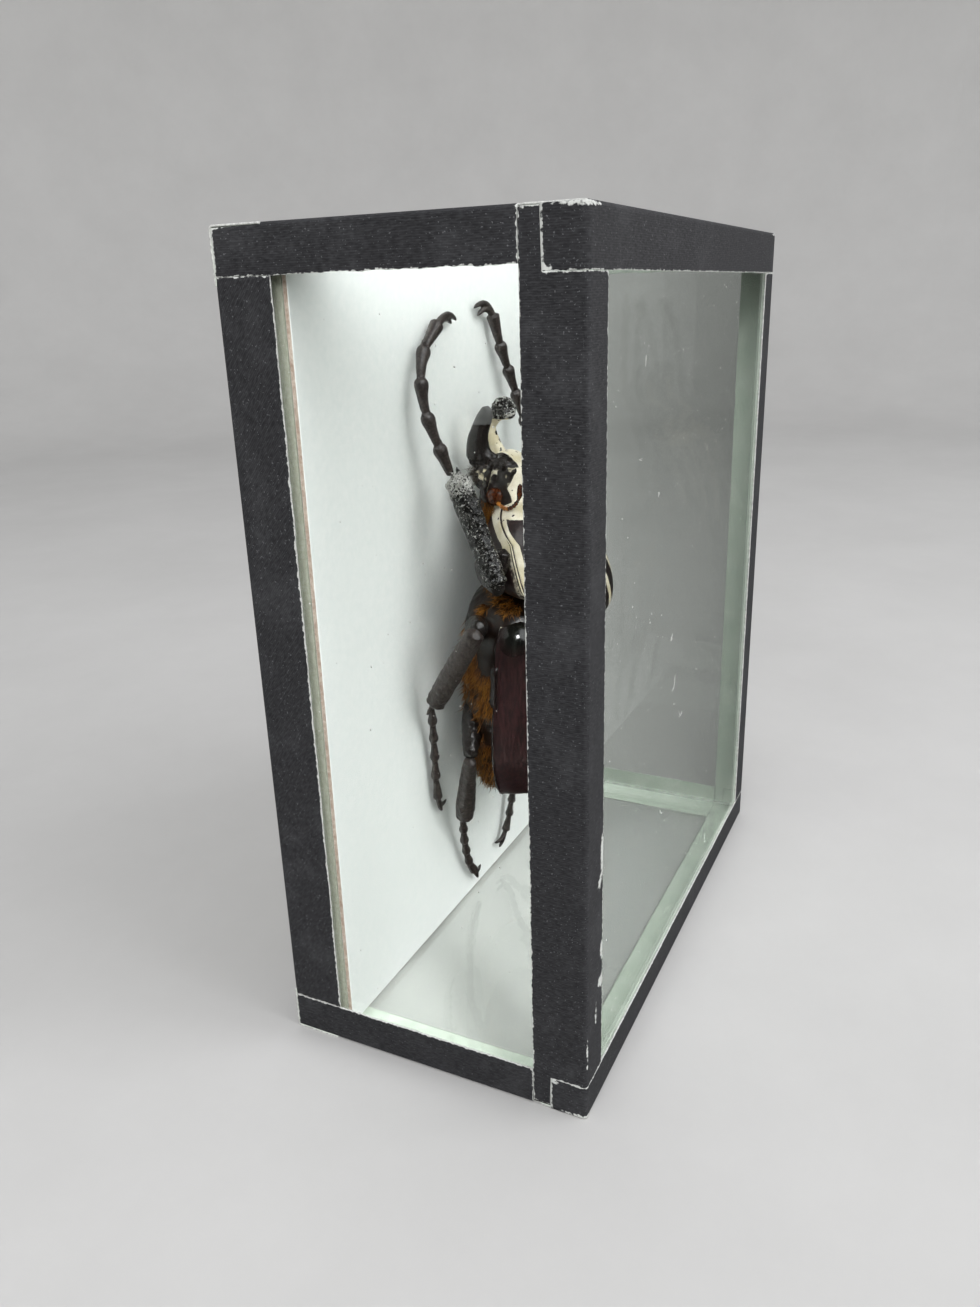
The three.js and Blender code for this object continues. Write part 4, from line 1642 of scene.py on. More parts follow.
@dataclass
class Pronotum:
    """The shield behind the head: cream bloom in stripes on black, a raised rim and a dark underside."""

    middle: float = 15.0
    half_length: float = 10.4
    half_width: float = 17.4
    narrowing: float = 0.16
    edge: float = 17.4
    edge_slope: float = 2.2
    dome: float = 9.2
    dome_slope: float = 4.0
    underside: float = 4.6
    tuck: float = 0.35
    lobe: float = 7.4
    rows: int = 120
    sides: int = 240
    crowding: float = 1.6
    hairs: int = 700

    def surface(self, along: Array, turn: Array) -> Array:
        """Points of the shield.

        Args:
            along: From -1 at the rear to 1 at the head.
            turn: Angle from the top round to the underside.

        Returns:
            Points, in the shape that along and turn make together.
        """
        across, up = np.sin(turn), np.cos(turn)
        full = fullness(along, 4.0)
        edge = self.edge - self.edge_slope * along
        below, above = np.clip(-up, 0.0, None), np.clip(up, 0.0, None)
        x = across * self.half_width * (1 - self.narrowing * along) * full * (1 - self.tuck * below)
        rearward = self.lobe * (1 - np.abs(across) ** 3) * ((1 - along) / 2) ** 1.5
        y = self.middle + self.half_length * along - np.where(up >= 0, rearward, 0.0)
        drop = (edge - self.underside) * np.sqrt(full) * below
        z = edge + (self.dome - self.dome_slope * along) * above * full - drop
        return np.stack(np.broadcast_arrays(x, y, z), -1)

    def build(self) -> None:
        """Make the shield and the hair under it."""
        along = -np.cos(np.linspace(0.06, math.pi - 0.06, self.rows))[:, None]
        turn = self.columns(along)
        rings = self.surface(along, turn)
        draft = Draft.closed(rings, rings[0].mean(0), rings[-1].mean(0))
        flat_along = np.r_[np.repeat(along, self.sides), -1.0, 1.0]
        angle = np.degrees(turn.ravel())
        angle = np.r_[np.minimum(angle, 360.0 - angle), 90.0, 90.0]
        off = angle - self.rim_angle(flat_along)
        bead = bell(off, 0.0, 1.6)
        groove = bell(off, -2.2, 0.9) + bell(off, 2.2, 0.9)
        collar = bell(flat_along, 0.93, 0.05) + bell(flat_along, -0.95, 0.04)
        lift = 0.3 * bead - 0.16 * groove + 0.18 * collar
        lift += 0.03 * blobs(draft.points, 0.6, 14) + 0.1 * blobs(draft.points, 4.0, 15)
        caps = np.r_[np.ones(len(lift) - 2), 0.0, 0.0]
        cream = self.stripes(draft.points, flat_along, angle)
        draft.swell(lift * caps)
        under = rise(angle, 118.0, 130.0)
        shell = painted(draft, cream, 0.25 * (1 - under))
        add_piece("pronotum_shell", shell, [ShieldChitin()], "pronotum")
        for side in Side:
            self.grow_hair(side)

    def columns(self, along: Array) -> Array:
        """Angles round the shield, close together at its rim.

        Args:
            along: From -1 at the rear to 1 at the head, one a row.

        Returns:
            Angles, a row for each place along the shield.
        """
        share = np.linspace(0.0, 1.0, self.sides // 4, endpoint=False)
        rim = np.radians(self.rim_angle(along))
        above = rim * (1 - (1 - share) ** self.crowding)
        below = rim + (math.pi - rim) * share ** self.crowding
        half = np.hstack([above, below])
        return np.hstack([half, np.full_like(rim, math.pi), 2 * math.pi - half[:, :0:-1]])

    def rim_angle(self, along: Array) -> Array:
        """Where the raised rim runs, in degrees from the top; it dips towards the head."""
        return 83.0 + 6.0 * along + 45.0 * np.clip(along - 0.3, 0.0, None)

    def stripes(self, points: Array, along: Array, angle: Array) -> Array:
        """Where the cream bloom lies.

        Args:
            points: The shield's points.
            along: From -1 at the rear to 1 at the head, at each point.
            angle: Degrees from the top, at each point.

        Returns:
            Bloom from 0 to 1.
        """
        wander = 1.6 * blobs(points, 5.0, 31) + 0.5 * blobs(points, 1.2, 32)
        off = angle - self.rim_angle(along)
        # Black stripes run from behind the head to the rear, with cream lines between them that spread.
        spread = 1.0 - 0.35 * along
        at = angle + wander
        lines = bell(at, 9.0 * spread, 3.2) + bell(at, 33.0 * spread, 4.2)
        lines = np.clip(1.5 * lines, 0.0, 1.0) * rise(along, -0.95, -0.85)
        low = np.maximum(11.5 + 12.0 * along, 8.0)
        flank = rise(off + wander, -12.5, -10.5) * (1 - rise(off + wander - low, -1.2, 1.2))
        worn = 1 - rise(along + 0.2 * blobs(points, 1.6, 34), -0.1, 0.45)
        flank *= 1 - 0.58 * (worn * rise(off, 1.5, 4.0))
        collar = rise(along, 0.70, 0.75) * (1 - rise(angle, 122.0, 130.0))
        rear = bell(along, -0.93, 0.03) * rise(angle, 20.0, 40.0) * (1 - rise(off, 2.0, 6.0))
        patch = bell(along, -0.86, 0.08) * bell(angle, 0.0, 16.0)
        cream = np.maximum.reduce([lines, flank, collar, rear, patch])
        dots = rise(blobs(points, 0.9, 33), 0.66, 0.78)
        cream *= 1 - dots
        for middle in (-1.6, 1.6):
            cream *= 1 - bell(off, middle, 0.95)
        return cream

    def grow_hair(self, side: Side) -> None:
        """Grow golden hair under one side, behind the front leg.

        Args:
            side: Which side.
        """
        chance = np.random.default_rng(50 + side.value)
        along = chance.uniform(-0.92, 0.1, self.hairs)
        turn = np.radians(chance.uniform(116.0, 152.0, self.hairs))
        roots = self.surface(along, turn)
        flow = np.stack([np.sin(turn) * 0.7, np.full_like(turn, -1.0), np.cos(turn) * 0.5], 1)
        roots[:, 0] *= side.value
        flow[:, 0] *= side.value
        patch = blobs(roots, 4.0, 25) > -0.1
        draft = HairCoat(2.3, 51 + side.value).grow(roots[patch], flow[patch])
        add_piece(f"pronotum_{side.word}_hair", draft, [Bristle()], None)


@dataclass
class Head:
    """The head with its forked horn, mouthparts, eyes and feelers."""

    middle: float = 28.5
    half_length: float = 5.9
    half_width: float = 8.2
    height: float = 10.4
    height_slope: float = 1.2
    half_depth: float = 4.6
    depth_slope: float = 2.0
    voxel: float = 0.18
    knob: Place = (4.9, 42.3, 6.6)
    knob_radii: Place = (2.0, 2.3, 2.35)
    jaw: Place = (-5.4, 29.4, 7.0)
    jaw_radii: Place = (2.6, 2.8, 2.8)
    eye: Place = (-8.4, 26.1, 10.3)
    eye_radii: Place = (1.5, 1.9, 1.8)
    hairs: int = 420

    def build(self) -> None:
        """Make the head, its eyes, feelers and brushes."""
        self.build_skull()
        for side in Side:
            self.build_eye(side)
            self.build_feeler(side)
            self.grow_brushes(side)

    def skull(self) -> Draft:
        """The body of the head.

        Returns:
            A closed shape.
        """
        along = -np.cos(np.linspace(0.1, math.pi - 0.1, 40))[:, None]
        turn = circle(60)[None]
        full = fullness(along, 4.0)
        x = np.sin(turn) * self.half_width * (1 - 0.2 * along) * full
        y = self.middle + self.half_length * along + 0.0 * turn
        lift = (self.half_depth - self.depth_slope * along) * np.cos(turn) * full
        z = self.height - self.height_slope * along + lift
        rings = np.stack([x, y, z], -1)
        return Draft.closed(rings, rings[0].mean(0), rings[-1].mean(0))

    def prong(self, side: Side) -> Draft:
        """One prong of the horn: a deep blade on the left, a thinner stalk below its knob on the right.

        Args:
            side: Which prong.

        Returns:
            The prong as a closed shape.
        """
        if side is Side.LEFT:
            knots = [
                (-3.8, 31.6, 7.6), (-4.8, 33.8, 5.4), (-5.2, 36.9, 5.2),
                (-5.1, 39.5, 5.9), (-4.9, 42.0, 6.9), (-4.8, 43.5, 7.4),
            ]
            deep, thin = [2.4, 2.8, 2.3, 1.9, 1.6, 1.1], [2.2, 2.2, 1.9, 1.7, 1.5, 1.0]
        else:
            knots = [
                (3.9, 29.5, 6.6), (4.2, 33.2, 4.6), (4.5, 36.3, 3.5),
                (4.6, 38.6, 3.3), (4.6, 40.4, 4.4), (4.6, 41.8, 6.0),
            ]
            deep, thin = [3.0, 2.3, 1.7, 1.4, 1.4, 1.6], [2.4, 1.8, 1.5, 1.3, 1.3, 1.4]
        count = 48
        return tube(spline(knots, count), graded(thin, count), graded(deep, count), (0.0, 0.0, 1.0), 28)

    def face_parts(self, side: Side) -> list[Draft]:
        """The plate over one eye, the leaf and the palp beside the mouth, and the cheek behind it.

        Args:
            side: Which side.

        Returns:
            Closed shapes.
        """
        blades = (
            ([(-7.6, 28.4, 11.4), (-8.5, 30.6, 13.3), (-8.9, 31.9, 15.5)], [1.5, 1.5, 0.3], 0.5),
            ([(-7.6, 28.8, 11.6), (-8.4, 31.2, 12.2), (-8.7, 33.6, 12.8)], [1.3, 1.1, 0.3], 0.5),
            ([(-8.3, 27.4, 7.7), (-9.0, 30.5, 9.0), (-8.8, 33.3, 10.3)], [0.6, 0.8, 0.2], 0.45),
            ([(-7.0, 26.4, 7.4), (-8.3, 23.6, 7.2), (-8.7, 20.8, 7.7)], [1.1, 1.3, 0.6], 0.45),
            ([(-7.4, 27.8, 7.2), (-8.8, 26.6, 7.6), (-9.2, 25.0, 8.6)], [0.7, 0.6, 0.4], 0.9),
        )
        made = []
        for knots, radii, flat in blades:
            path = spline(knots, 26) * [-side.value, 1.0, 1.0]
            radius = graded(radii, 26)
            made.append(tube(path, radius, radius * flat, (1.0, 0.0, 0.0), 16))
        return made

    def build_skull(self) -> None:
        """Fuse the head's parts under one skin and lay the bloom on it."""
        shapes = [self.skull(), lump(self.knob, self.knob_radii, 20, 28)]
        for side in Side:
            shapes += [self.prong(side), lump(side.of(self.jaw), self.jaw_radii), *self.face_parts(side)]
        draft = fused(shapes, self.voxel, 4)
        points = draft.points
        x, y, z = points.T
        facing = draft.normals()
        outside = facing[:, 0] * np.sign(x)
        forked = rise(y, 30.2, 32.4) * rise(np.abs(x), 2.0, 2.8)
        dark = forked * np.where(x < 0, rise(outside, -0.45, -0.1), rise(outside, 0.1, 0.5))
        knob = rise(y, 40.0, 40.8) * rise(x, 1.0, 2.0)
        tip = rise(y, 39.5, 41.0) * (1 - rise(x, -2.0, -1.0))
        cheek = rise(np.abs(x), 7.2, 7.9)
        # The plate over the eye keeps a grey bloom in streaks.
        streaks = rise(blobs(points * [1.0, 0.5, 1.0], 0.9, 68), -0.2, 0.2)
        plate = cheek * rise(z, 12.4, 13.4) * streaks
        chin = 1 - rise(z + 0.2 * (y - 28.0) + 0.3 * blobs(points, 1.5, 60), 7.2, 8.6)
        chin *= 1 - forked * (x > 0)
        dark = np.maximum.reduce([dark, knob, tip, cheek, chin])
        dots = rise(blobs(points, 0.8, 61), 0.55, 0.66)
        crest = rise(facing[:, 2], 0.75, 0.92) * forked * (x > 0)
        crest *= rise(blobs(points, 0.8, 66), -0.3, 0.2)
        cream = (1 - dark) * (1 - 0.85 * dots) * (1 - 0.8 * crest)
        # The end of the left prong is rubbed grey and the jaws are patchy. The raised folds of the knob are
        # painted pale: painted highlight.
        jaw = bell(y, 29.6, 2.2) * (1 - rise(z, 8.6, 9.6))
        patchy = rise(blobs(points, 1.1, 67), 0.0, 0.25)
        folds = 0.35 - np.abs(blobs(points, 0.9, 63))
        painted_fold_glints = rise(folds, 0.2, 0.3)
        cream = np.maximum.reduce([
            cream,
            0.75 * rise(y, 39.4, 39.7) * tip,
            0.62 * jaw * patchy,
            0.48 * plate,
            knob * (0.28 + 0.4 * painted_fold_glints),
        ])
        base = forked * (1 - rise(y, 33.0, 35.0)) * (x < 0)
        lift = 0.04 * blobs(points, 0.8, 62) + (knob * 1.5 + np.maximum(base, jaw) * 0.6) * folds
        draft.swell(lift)
        gloss = 0.4 * np.maximum(tip, forked)
        finishes = [Chitin(), RugoseChitin(), RubbedChitin()]
        piece = add_piece("head_shell", painted(draft, cream, gloss), finishes, "head")
        kinds = np.where(knob > 0.5, 1, np.where((y > 39.0) & (x < 0.0), 2, 0))
        faces = [kinds[face].min(axis=1) for face in (draft.quads, draft.tris)]
        piece.data.polygons.foreach_set("material_index", np.concatenate(faces).astype(np.int32))

    def build_eye(self, side: Side) -> None:
        """Make one eye, a polished bead of fine facets.

        Args:
            side: Which eye.
        """
        draft = lump(side.of(self.eye), self.eye_radii, 40, 60)
        draft.swell(0.025 * blobs(draft.points, 0.35, 64))
        add_piece(f"eye_{side.word}", painted(draft, 0.25, 0.6), [AmberShell()], None)

    def build_feeler(self, side: Side) -> None:
        """Make one feeler: a bent stalk of small joints and a club of three leaves.

        Args:
            side: Which feeler.
        """
        knots = [
            (-8.6, 25.6, 10.4), (-9.6, 24.4, 12.2), (-10.4, 24.1, 13.9),
            (-11.0, 24.8, 15.6), (-11.4, 26.0, 16.8),
        ]
        path = spline(knots, 60)
        beads = 0.4 + 0.08 * np.sin(np.linspace(0, 8 * 2 * math.pi, 60))
        shapes = [tube(path, beads, beads, (0.3, 0.2, 1.0), 12)]
        for fan in (-0.35, 0.0, 0.35):
            leaf = spline([(-11.4, 25.8, 16.7), (-11.8, 27.6, 17.6 + fan), (-11.6, 29.6, 18.2 + fan * 2)], 20)
            broad = np.interp(np.linspace(0, 1, 20), [0, 0.5, 0.9, 1], [0.35, 0.8, 0.7, 0.3])
            shapes.append(tube(leaf, broad, broad * 0.36, (0.0, 0.6, 0.8), 12))
        draft = fused(shapes, 0.12, 2)
        if side is Side.RIGHT:
            draft.points[:, 0] *= -1
            draft.flip()
        amber = 1 - rise(draft.points[:, 2], 13.0, 15.5)
        add_piece(
            f"antenna_{side.word}_joints", painted(draft, amber, 0.3), [AmberShell()],
            f"antenna_{side.word}",
        )

    def grow_brushes(self, side: Side) -> None:
        """Grow the golden brush behind the mouthparts of one side, and the grey tuft before them.

        Args:
            side: Which side.
        """
        chance = np.random.default_rng(60 + side.value)
        many, few = self.hairs, self.hairs // 2
        brushes = (
            ("brush", (-8.0, 25.6, 8.2), (-8.6, 21.0, 8.2), (-0.4, -1.0, 0.25), 3.0, many, Bristle()),
            ("tuft", (-6.6, 31.4, 4.8), (-7.2, 28.6, 6.0), (-1.0, 0.1, -0.2), 2.0, few, GreyBristle()),
        )
        for name, start, end, lie, length, count, finish in brushes:
            first, last = np.array(start), np.array(end)
            spread = chance.normal(0, 0.55, (count, 3)) * [0.4, 0.5, 1.0]
            roots = first + (last - first) * chance.uniform(0.0, 1.0, (count, 1)) + spread
            flow = np.tile(lie, (count, 1))
            roots[:, 0] *= -side.value
            flow[:, 0] *= -side.value
            draft = HairCoat(length, 61 + side.value).grow(roots, flow)
            add_piece(f"head_{side.word}_{name}", draft, [finish], None)


@dataclass
class Leg:
    """One leg: thigh, shin and a foot of five joints with two claws."""

    place: str
    side: Side
    hip: Place
    knee: Place
    ankle: Place
    foot: Sequence[Place]
    claws: Sequence[Place]
    shin: Sequence[float]
    wrinkle: float
    finish: Finish
    # Radii of the foot's joints, at the neck and at the widest
    neck: float
    flare: float
    thigh: Sequence[float] = (1.6, 2.5, 2.7, 2.3, 1.7)
    fringe: int = 120
    # Fineness of the skin of each part, and of a front shin
    voxels: dict[str, float] = field(default_factory=lambda: {"femur": 0.24, "tibia": 0.22, "tarsus": 0.17})
    rough_voxel: float = 0.15

    @property
    def name(self) -> str:
        """The leg's name in the frame."""
        return f"{self.place}_{self.side.word}"

    @property
    def line(self) -> Array:
        """Direction of the shin, from the knee to the ankle."""
        return unit(np.array(self.ankle) - np.array(self.knee))

    @property
    def seed(self) -> int:
        """A number of this leg's own."""
        return 100 + 10 * ("front", "mid", "hind").index(self.place) + self.side.value

    def build(self) -> None:
        """Make the leg's pieces and its fringe of hair."""
        self.add_part("femur", self.thigh_shapes(), 0.06)
        self.add_part("tibia", self.shin_shapes(), self.wrinkle)
        self.add_part("tarsus", self.foot_shapes(), 0.03)
        self.grow_fringe()

    def bone(self, start: Place, end: Place, radii: Sequence[float], flat: float) -> Draft:
        """A straight limb with rounded ends.

        Args:
            start: Where it starts.
            end: Where it ends.
            radii: Its radii, spread along it.
            flat: Thickness as a share of width.

        Returns:
            The limb as a closed shape.
        """
        first, last = np.array(start), np.array(end)
        length = np.linalg.norm(last - first)
        share = np.linspace(0.6 * radii[0] / length, 1 - 0.6 * radii[-1] / length, 36)
        path = first + (last - first) * share[:, None]
        radius = graded(radii, len(share))
        return tube(path, radius, radius * flat, (0.0, 0.0, 1.0), 24)

    def thigh_shapes(self) -> list[Draft]:
        """The thigh, with a blunt tooth on a front one.

        Returns:
            The shapes that fuse into it.
        """
        shapes = [self.bone(self.hip, self.knee, self.thigh, 0.9)]
        if self.place == "front":
            sign = self.side.value
            tooth = [(sign * 18.6, 11.6, 14.4), (sign * 18.6, 14.4, 15.8), (sign * 18.3, 17.0, 16.6)]
            shapes.append(round_tube(tooth, [2.1, 2.0, 1.6]))
        return shapes

    def shin_shapes(self) -> list[Draft]:
        """The shin: a bone that widens to its end, with a tooth on its edge and two spurs at the ankle.

        Returns:
            The shapes that fuse into it.
        """
        knee, ankle, line = np.array(self.knee), np.array(self.ankle), self.line
        outward = np.cross(line, (0.0, 0.0, 1.0)) * (1 if self.side is Side.LEFT else -1)
        outward *= 1 if line[1] > 0 else -1
        shapes = [self.bone(self.knee, self.ankle, self.shin, 1.0)]
        reach = self.shin[-1]
        for spread, length in ((0.95, 2.4), (-0.85, 2.9)):
            root = ankle - line * 0.9 + outward * reach * 0.55 * spread
            tip = ankle + line * length * 0.55 + outward * (reach * 0.5 + length * 0.35) * spread
            shapes.append(round_tube([root, (root + tip) / 2, tip], [0.62, 0.45, 0.14], 12, 10))
        tooth = knee + (ankle - knee) * 0.72 - outward * self.shin[3] * 0.7
        knots = [tooth, tooth - outward * 0.7 + line * 0.3, tooth - outward * 1.3 + line * 0.8]
        shapes.append(round_tube(knots, [0.8, 0.6, 0.2], 12, 10))
        return shapes

    def foot_shapes(self) -> list[Draft]:
        """The foot: joints like small vases, each with a pair of spines, and two hooked claws.

        Returns:
            The shapes that fuse into it.
        """
        joints, steps = 5, 20
        count, toe = joints * steps + 1, (joints - 1) * steps + 1
        path = spline(self.foot, 161)
        reach = np.r_[0.0, np.cumsum(np.linalg.norm(np.diff(path, axis=0), axis=1))]
        even = np.linspace(0, reach[-1], count)
        place = np.stack([np.interp(even, reach, path[:, i]) for i in range(3)], 1)
        joint = np.linspace(0, joints, count) % 1.0
        joint[-1] = 1.0
        neck, flare = self.neck, self.flare
        vase = [neck * 0.85, neck, flare * 0.76, flare * 0.96, flare, flare * 0.88, neck * 0.9]
        radius = np.interp(joint, [0, 0.12, 0.5, 0.72, 0.82, 0.92, 1.0], vase)
        last = [neck, neck, flare * 0.94, flare]
        radius[toe:] = np.interp(joint[toe:], [0, 0.1, 0.85, 1.0], last)
        shapes = [tube(place, radius, radius * 0.92, (0.0, 0.0, 1.0), 18)]
        for i in range(17, toe, steps):
            ahead = unit(place[i + 3] - place[i])
            aside = np.cross(ahead, (0.0, 0.0, 1.0))
            for sign in (-1, 1):
                root = place[i] + aside * sign * flare * 0.6
                tip = place[i] + aside * sign * flare * 1.05 + ahead * 1.3
                shapes.append(round_tube([root, (root + tip) / 2, tip], [0.36, 0.26, 0.12], 8, 8))
        end = place[-1]
        onward = unit(place[-1] - place[-4])
        root = end - onward * flare
        hook = neck * 0.8
        share = np.linspace(0, 1, 24)[:, None]
        for claw in self.claws:
            tip = np.array(claw)
            bend = end + onward * np.linalg.norm(tip - end) * 0.62
            curve = root * (1 - share) ** 2 + 2 * bend * share * (1 - share) + tip * share ** 2
            thick = np.interp(share[:, 0], [0, 0.6, 0.9, 1], [hook, hook, hook * 0.6, 0.16])
            shapes.append(tube(curve, thick, thick, (0.0, 0.0, 1.0), 10))
        return shapes

    def add_part(self, bone: str, shapes: Sequence[Draft], wrinkle: float) -> None:
        """Fuse shapes into one part of the leg and wrinkle its shell.

        Args:
            bone: Which part.
            shapes: Closed shapes.
            wrinkle: Height of the wrinkles.
        """
        rough = bone == "tibia" and self.place == "front"
        draft = fused(shapes, self.rough_voxel if rough else self.voxels[bone], 3)
        coarse = blobs(draft.points * [1.0, 0.7, 1.0], 0.75, self.seed)
        fine = blobs(draft.points, 0.45, self.seed + 1)
        if rough:
            # Worm-like folds run where the noise crosses zero, and rings lie round the knee.
            # Their raised crests are painted pale, partly as dust and partly as painted highlight.
            from_knee = np.linalg.norm(draft.points - np.array(self.knee), axis=1)
            rings = np.sin(from_knee * 5.5) * (1 - rise(from_knee, 2.4, 4.0))
            short_of = (np.array(self.ankle) - draft.points) @ self.line
            dusty = rise(short_of, -0.6, 0.2) * (1 - rise(short_of, 2.5, 8.0))
            relief = 0.62 - 2.3 * np.abs(coarse) + (0.25 + 0.4 * dusty) * fine + 0.4 * rings
            crest = rise(relief, 0.4, 0.58) * rise(from_knee, -4.0, 9.0)
            bloom = np.maximum(0.18 + 0.24 * crest, dusty * (0.58 + 0.15 * fine))
        else:
            relief = coarse + 0.7 * fine
            # Raised wrinkles get a faint pale paint: painted highlight on the ridges.
            bloom = 0.16 * rise(relief, 0.35, 1.1)
        draft.swell(wrinkle * relief)
        finish = {"femur": Chitin(), "tibia": self.finish, "tarsus": DustyChitin()}[bone]
        node = f"{bone}_{self.name}"
        gloss = 0.5 if bone == "femur" else 0.0
        add_piece(f"{node}_shell", painted(draft, bloom, gloss), [finish], node)

    def grow_fringe(self) -> None:
        """Grow a short golden fringe along the inner edge of the shin."""
        chance = np.random.default_rng(self.seed)
        knee, ankle, line = np.array(self.knee), np.array(self.ankle), self.line
        inward = np.array([-float(self.side.value), 0.0, -0.25])
        inward = unit(inward - line * (inward @ line))
        share = chance.uniform(0.12, 0.95, self.fringe)
        radius = np.interp(share, np.linspace(0, 1, 5), self.shin)
        roots = knee + (ankle - knee) * share[:, None] + inward * (radius * 0.78)[:, None]
        roots += chance.normal(0, 0.25, (self.fringe, 3))
        flow = np.tile(inward * 0.8 + line * 0.7, (self.fringe, 1))
        draft = HairCoat(1.5, self.seed, radius=0.045).grow(roots, flow)
        add_piece(f"tibia_{self.name}_fringe", draft, [Bristle()], None)


@dataclass
class Beetle:
    """The dried beetle on its card."""

    shins: dict[str, Sequence[float]] = field(default_factory=lambda: {
        "front": (2.1, 2.25, 2.3, 2.5, 2.6),
        "mid": (1.9, 2.15, 2.2, 2.2, 2.0),
        "hind": (1.4, 1.75, 1.95, 2.2, 2.0),
    })
    wrinkles: dict[str, float] = field(default_factory=lambda: {"front": 0.18, "mid": 0.12, "hind": 0.08})
    foot_radii: dict[str, Pair] = field(default_factory=lambda: {
        "front": (0.95, 1.55),
        "mid": (0.68, 1.14),
        "hind": (0.72, 1.16),
    })
    joints: dict[str, tuple[Place, Place, Place]] = field(default_factory=lambda: {
        "front": ((-8.0, 12.0, 6.4), (-22.8, 10.6, 17.6), (-19.8, 32.6, 7.2)),
        "mid": ((-8.0, -3.0, 4.6), (-28.0, 3.8, 15.2), (-27.6, -14.6, 4.0)),
        "hind": ((-9.0, -17.5, 4.4), (-23.0, -27.4, 9.8), (-16.4, -46.4, 4.2)),
    })
    feet: dict[str, Sequence[Place]] = field(default_factory=lambda: {
        "front_left": (
            (-20.7, 32.6, 6.7), (-23.3, 40.1, 5.0), (-24.5, 45.7, 3.8),
            (-23.9, 51.0, 3.0), (-21.3, 55.7, 2.4), (-15.2, 60.2, 2.1),
        ),
        "front_right": (
            (20.8, 33.6, 6.2), (19.8, 39.0, 4.4), (18.2, 45.0, 3.2),
            (15.4, 50.6, 2.6), (12.5, 55.8, 2.3), (10.3, 61.2, 2.0),
        ),
        "mid_left": (
            (-27.4, -15.2, 3.6), (-25.6, -20.0, 2.6), (-24.4, -27.0, 2.0),
            (-24.0, -33.0, 1.8), (-23.4, -38.0, 1.7),
        ),
        "hind_left": (
            (-16.2, -47.0, 3.8), (-14.2, -52.4, 2.8), (-12.4, -57.0, 2.2),
            (-10.4, -61.6, 1.9), (-8.0, -65.0, 1.7),
        ),
        "hind_right": (
            (16.2, -47.0, 3.8), (14.6, -52.0, 2.8), (13.0, -57.0, 2.2),
            (12.0, -60.8, 1.9), (10.4, -63.8, 1.7),
        ),
    })
    claws: dict[str, Sequence[Place]] = field(default_factory=lambda: {
        "front_left": ((-5.8, 60.8, 1.5), (-7.9, 60.2, 1.4)),
        "front_right": ((2.9, 62.9, 1.2), (4.4, 61.3, 1.2)),
        "mid_left": ((-21.0, -42.4, 1.2), (-18.6, -41.0, 1.0)),
        "hind_left": ((-5.0, -69.0, 1.2), (-3.0, -66.6, 1.0)),
        "hind_right": ((7.4, -67.4, 1.2), (5.4, -65.0, 1.0)),
    })

    def build(self) -> None:
        """Make every piece of the beetle."""
        WingCases().build()
        Trunk().build()
        Pronotum().build()
        Head().build()
        for place in self.joints:
            for side in Side:
                self.leg(place, side).build()

    def leg(self, place: str, side: Side) -> Leg:
        """One leg, ready to build.

        Args:
            place: Front, mid or hind.
            side: Which side.

        Returns:
            The leg.
        """
        own = f"{place}_{side.word}"
        mirror = own not in self.feet
        key = f"{place}_left" if mirror else own
        turn = side.of if mirror else tuple
        neck, flare = self.foot_radii[place]
        return Leg(
            place, side, *[side.of(p) for p in self.joints[place]],
            foot=[turn(p) for p in self.feet[key]],
            claws=[turn(p) for p in self.claws[key]],
            shin=self.shins[place],
            wrinkle=self.wrinkles[place],
            finish=RugoseChitin() if place == "front" else DustyChitin(),
            neck=neck,
            flare=flare,
        )


@dataclass
class Dust:
    """Specks and fibres that have settled on the glass."""

    # How many specks and how many fibres each pane has
    counts: dict[str, tuple[int, int]] = field(default_factory=lambda: {
        "pane_front": (420, 9),
        "pane_left": (90, 0),
    })
    sides: int = 7
    # How far from the rim of its pane the dust stays, and how thick a fibre is
    margin: float = 10.0
    fibre_radius: float = 0.028

    def build(self) -> None:
        """Make the dust of each pane."""
        for node, (count, fibres) in self.counts.items():
            self.scatter(node, count, fibres)

    def scatter(self, node: str, count: int, fibres: int) -> None:
        """Scatter specks and a few fibres over the outer face of one pane.

        Args:
            node: The pane.
            count: How many specks.
            fibres: How many fibres.
        """
        chance = np.random.default_rng(count)
        low, high = (np.array(corner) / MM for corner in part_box(node))
        out = int(np.argmin(high - low))
        face = low[out]
        flat = [axis for axis in range(3) if axis != out]
        first, last = low[flat] + self.margin, high[flat] - self.margin
        drafts = []
        for _ in range(count):
            middle = np.zeros(3)
            middle[out] = face - 0.02
            middle[flat] = chance.uniform(first, last)
            drafts.append(self.speck(middle, flat, out, 0.06 + 0.13 * chance.random() ** 2, chance))
        for _ in range(fibres):
            knots = np.zeros((4, 3))
            knots[:, out] = face - 0.03
            start = chance.uniform(first, last)
            knots[:, flat] = start + np.cumsum(chance.normal(0, 0.8, (4, 2)), axis=0)
            path = spline(knots, 14)
            path[:, out] = face - 0.03
            thick = np.full(len(path), self.fibre_radius)
            facing = tuple(float(axis == out) for axis in range(3))
            drafts.append(tube(path, thick, thick, facing, 5))
        add_piece(f"{node}_dust", Draft.joined(drafts), [Lint()], None, in_case)

    def speck(
        self, middle: Array, flat: Sequence[int], out: int, radius: float, chance: np.random.Generator
    ) -> Draft:
        """One flat, uneven flake.

        Args:
            middle: Its middle.
            flat: The two axes that it lies in.
            out: The axis through it.
            radius: Its size.
            chance: Where its shape comes from.

        Returns:
            The flake as a closed shape.
        """
        turn = circle(self.sides)
        reach = radius * chance.uniform(0.6, 1.3, self.sides)
        ring = np.tile(middle, (self.sides, 1))
        ring[:, flat[0]] += reach * np.cos(turn)
        ring[:, flat[1]] += reach * np.sin(turn)
        tips = np.tile(middle, (2, 1))
        tips[:, out] += (-0.02, 0.02)
        return Draft.closed(ring[None], tips[0], tips[1])


@dataclass(frozen=True)
class Lamp:
    """A soft round lamp: where it stands and how wide it is in metres, its watts, and what it lights."""

    name: str
    place: Place
    size: float
    power: float
    fills: bool = True
    glints: bool = True


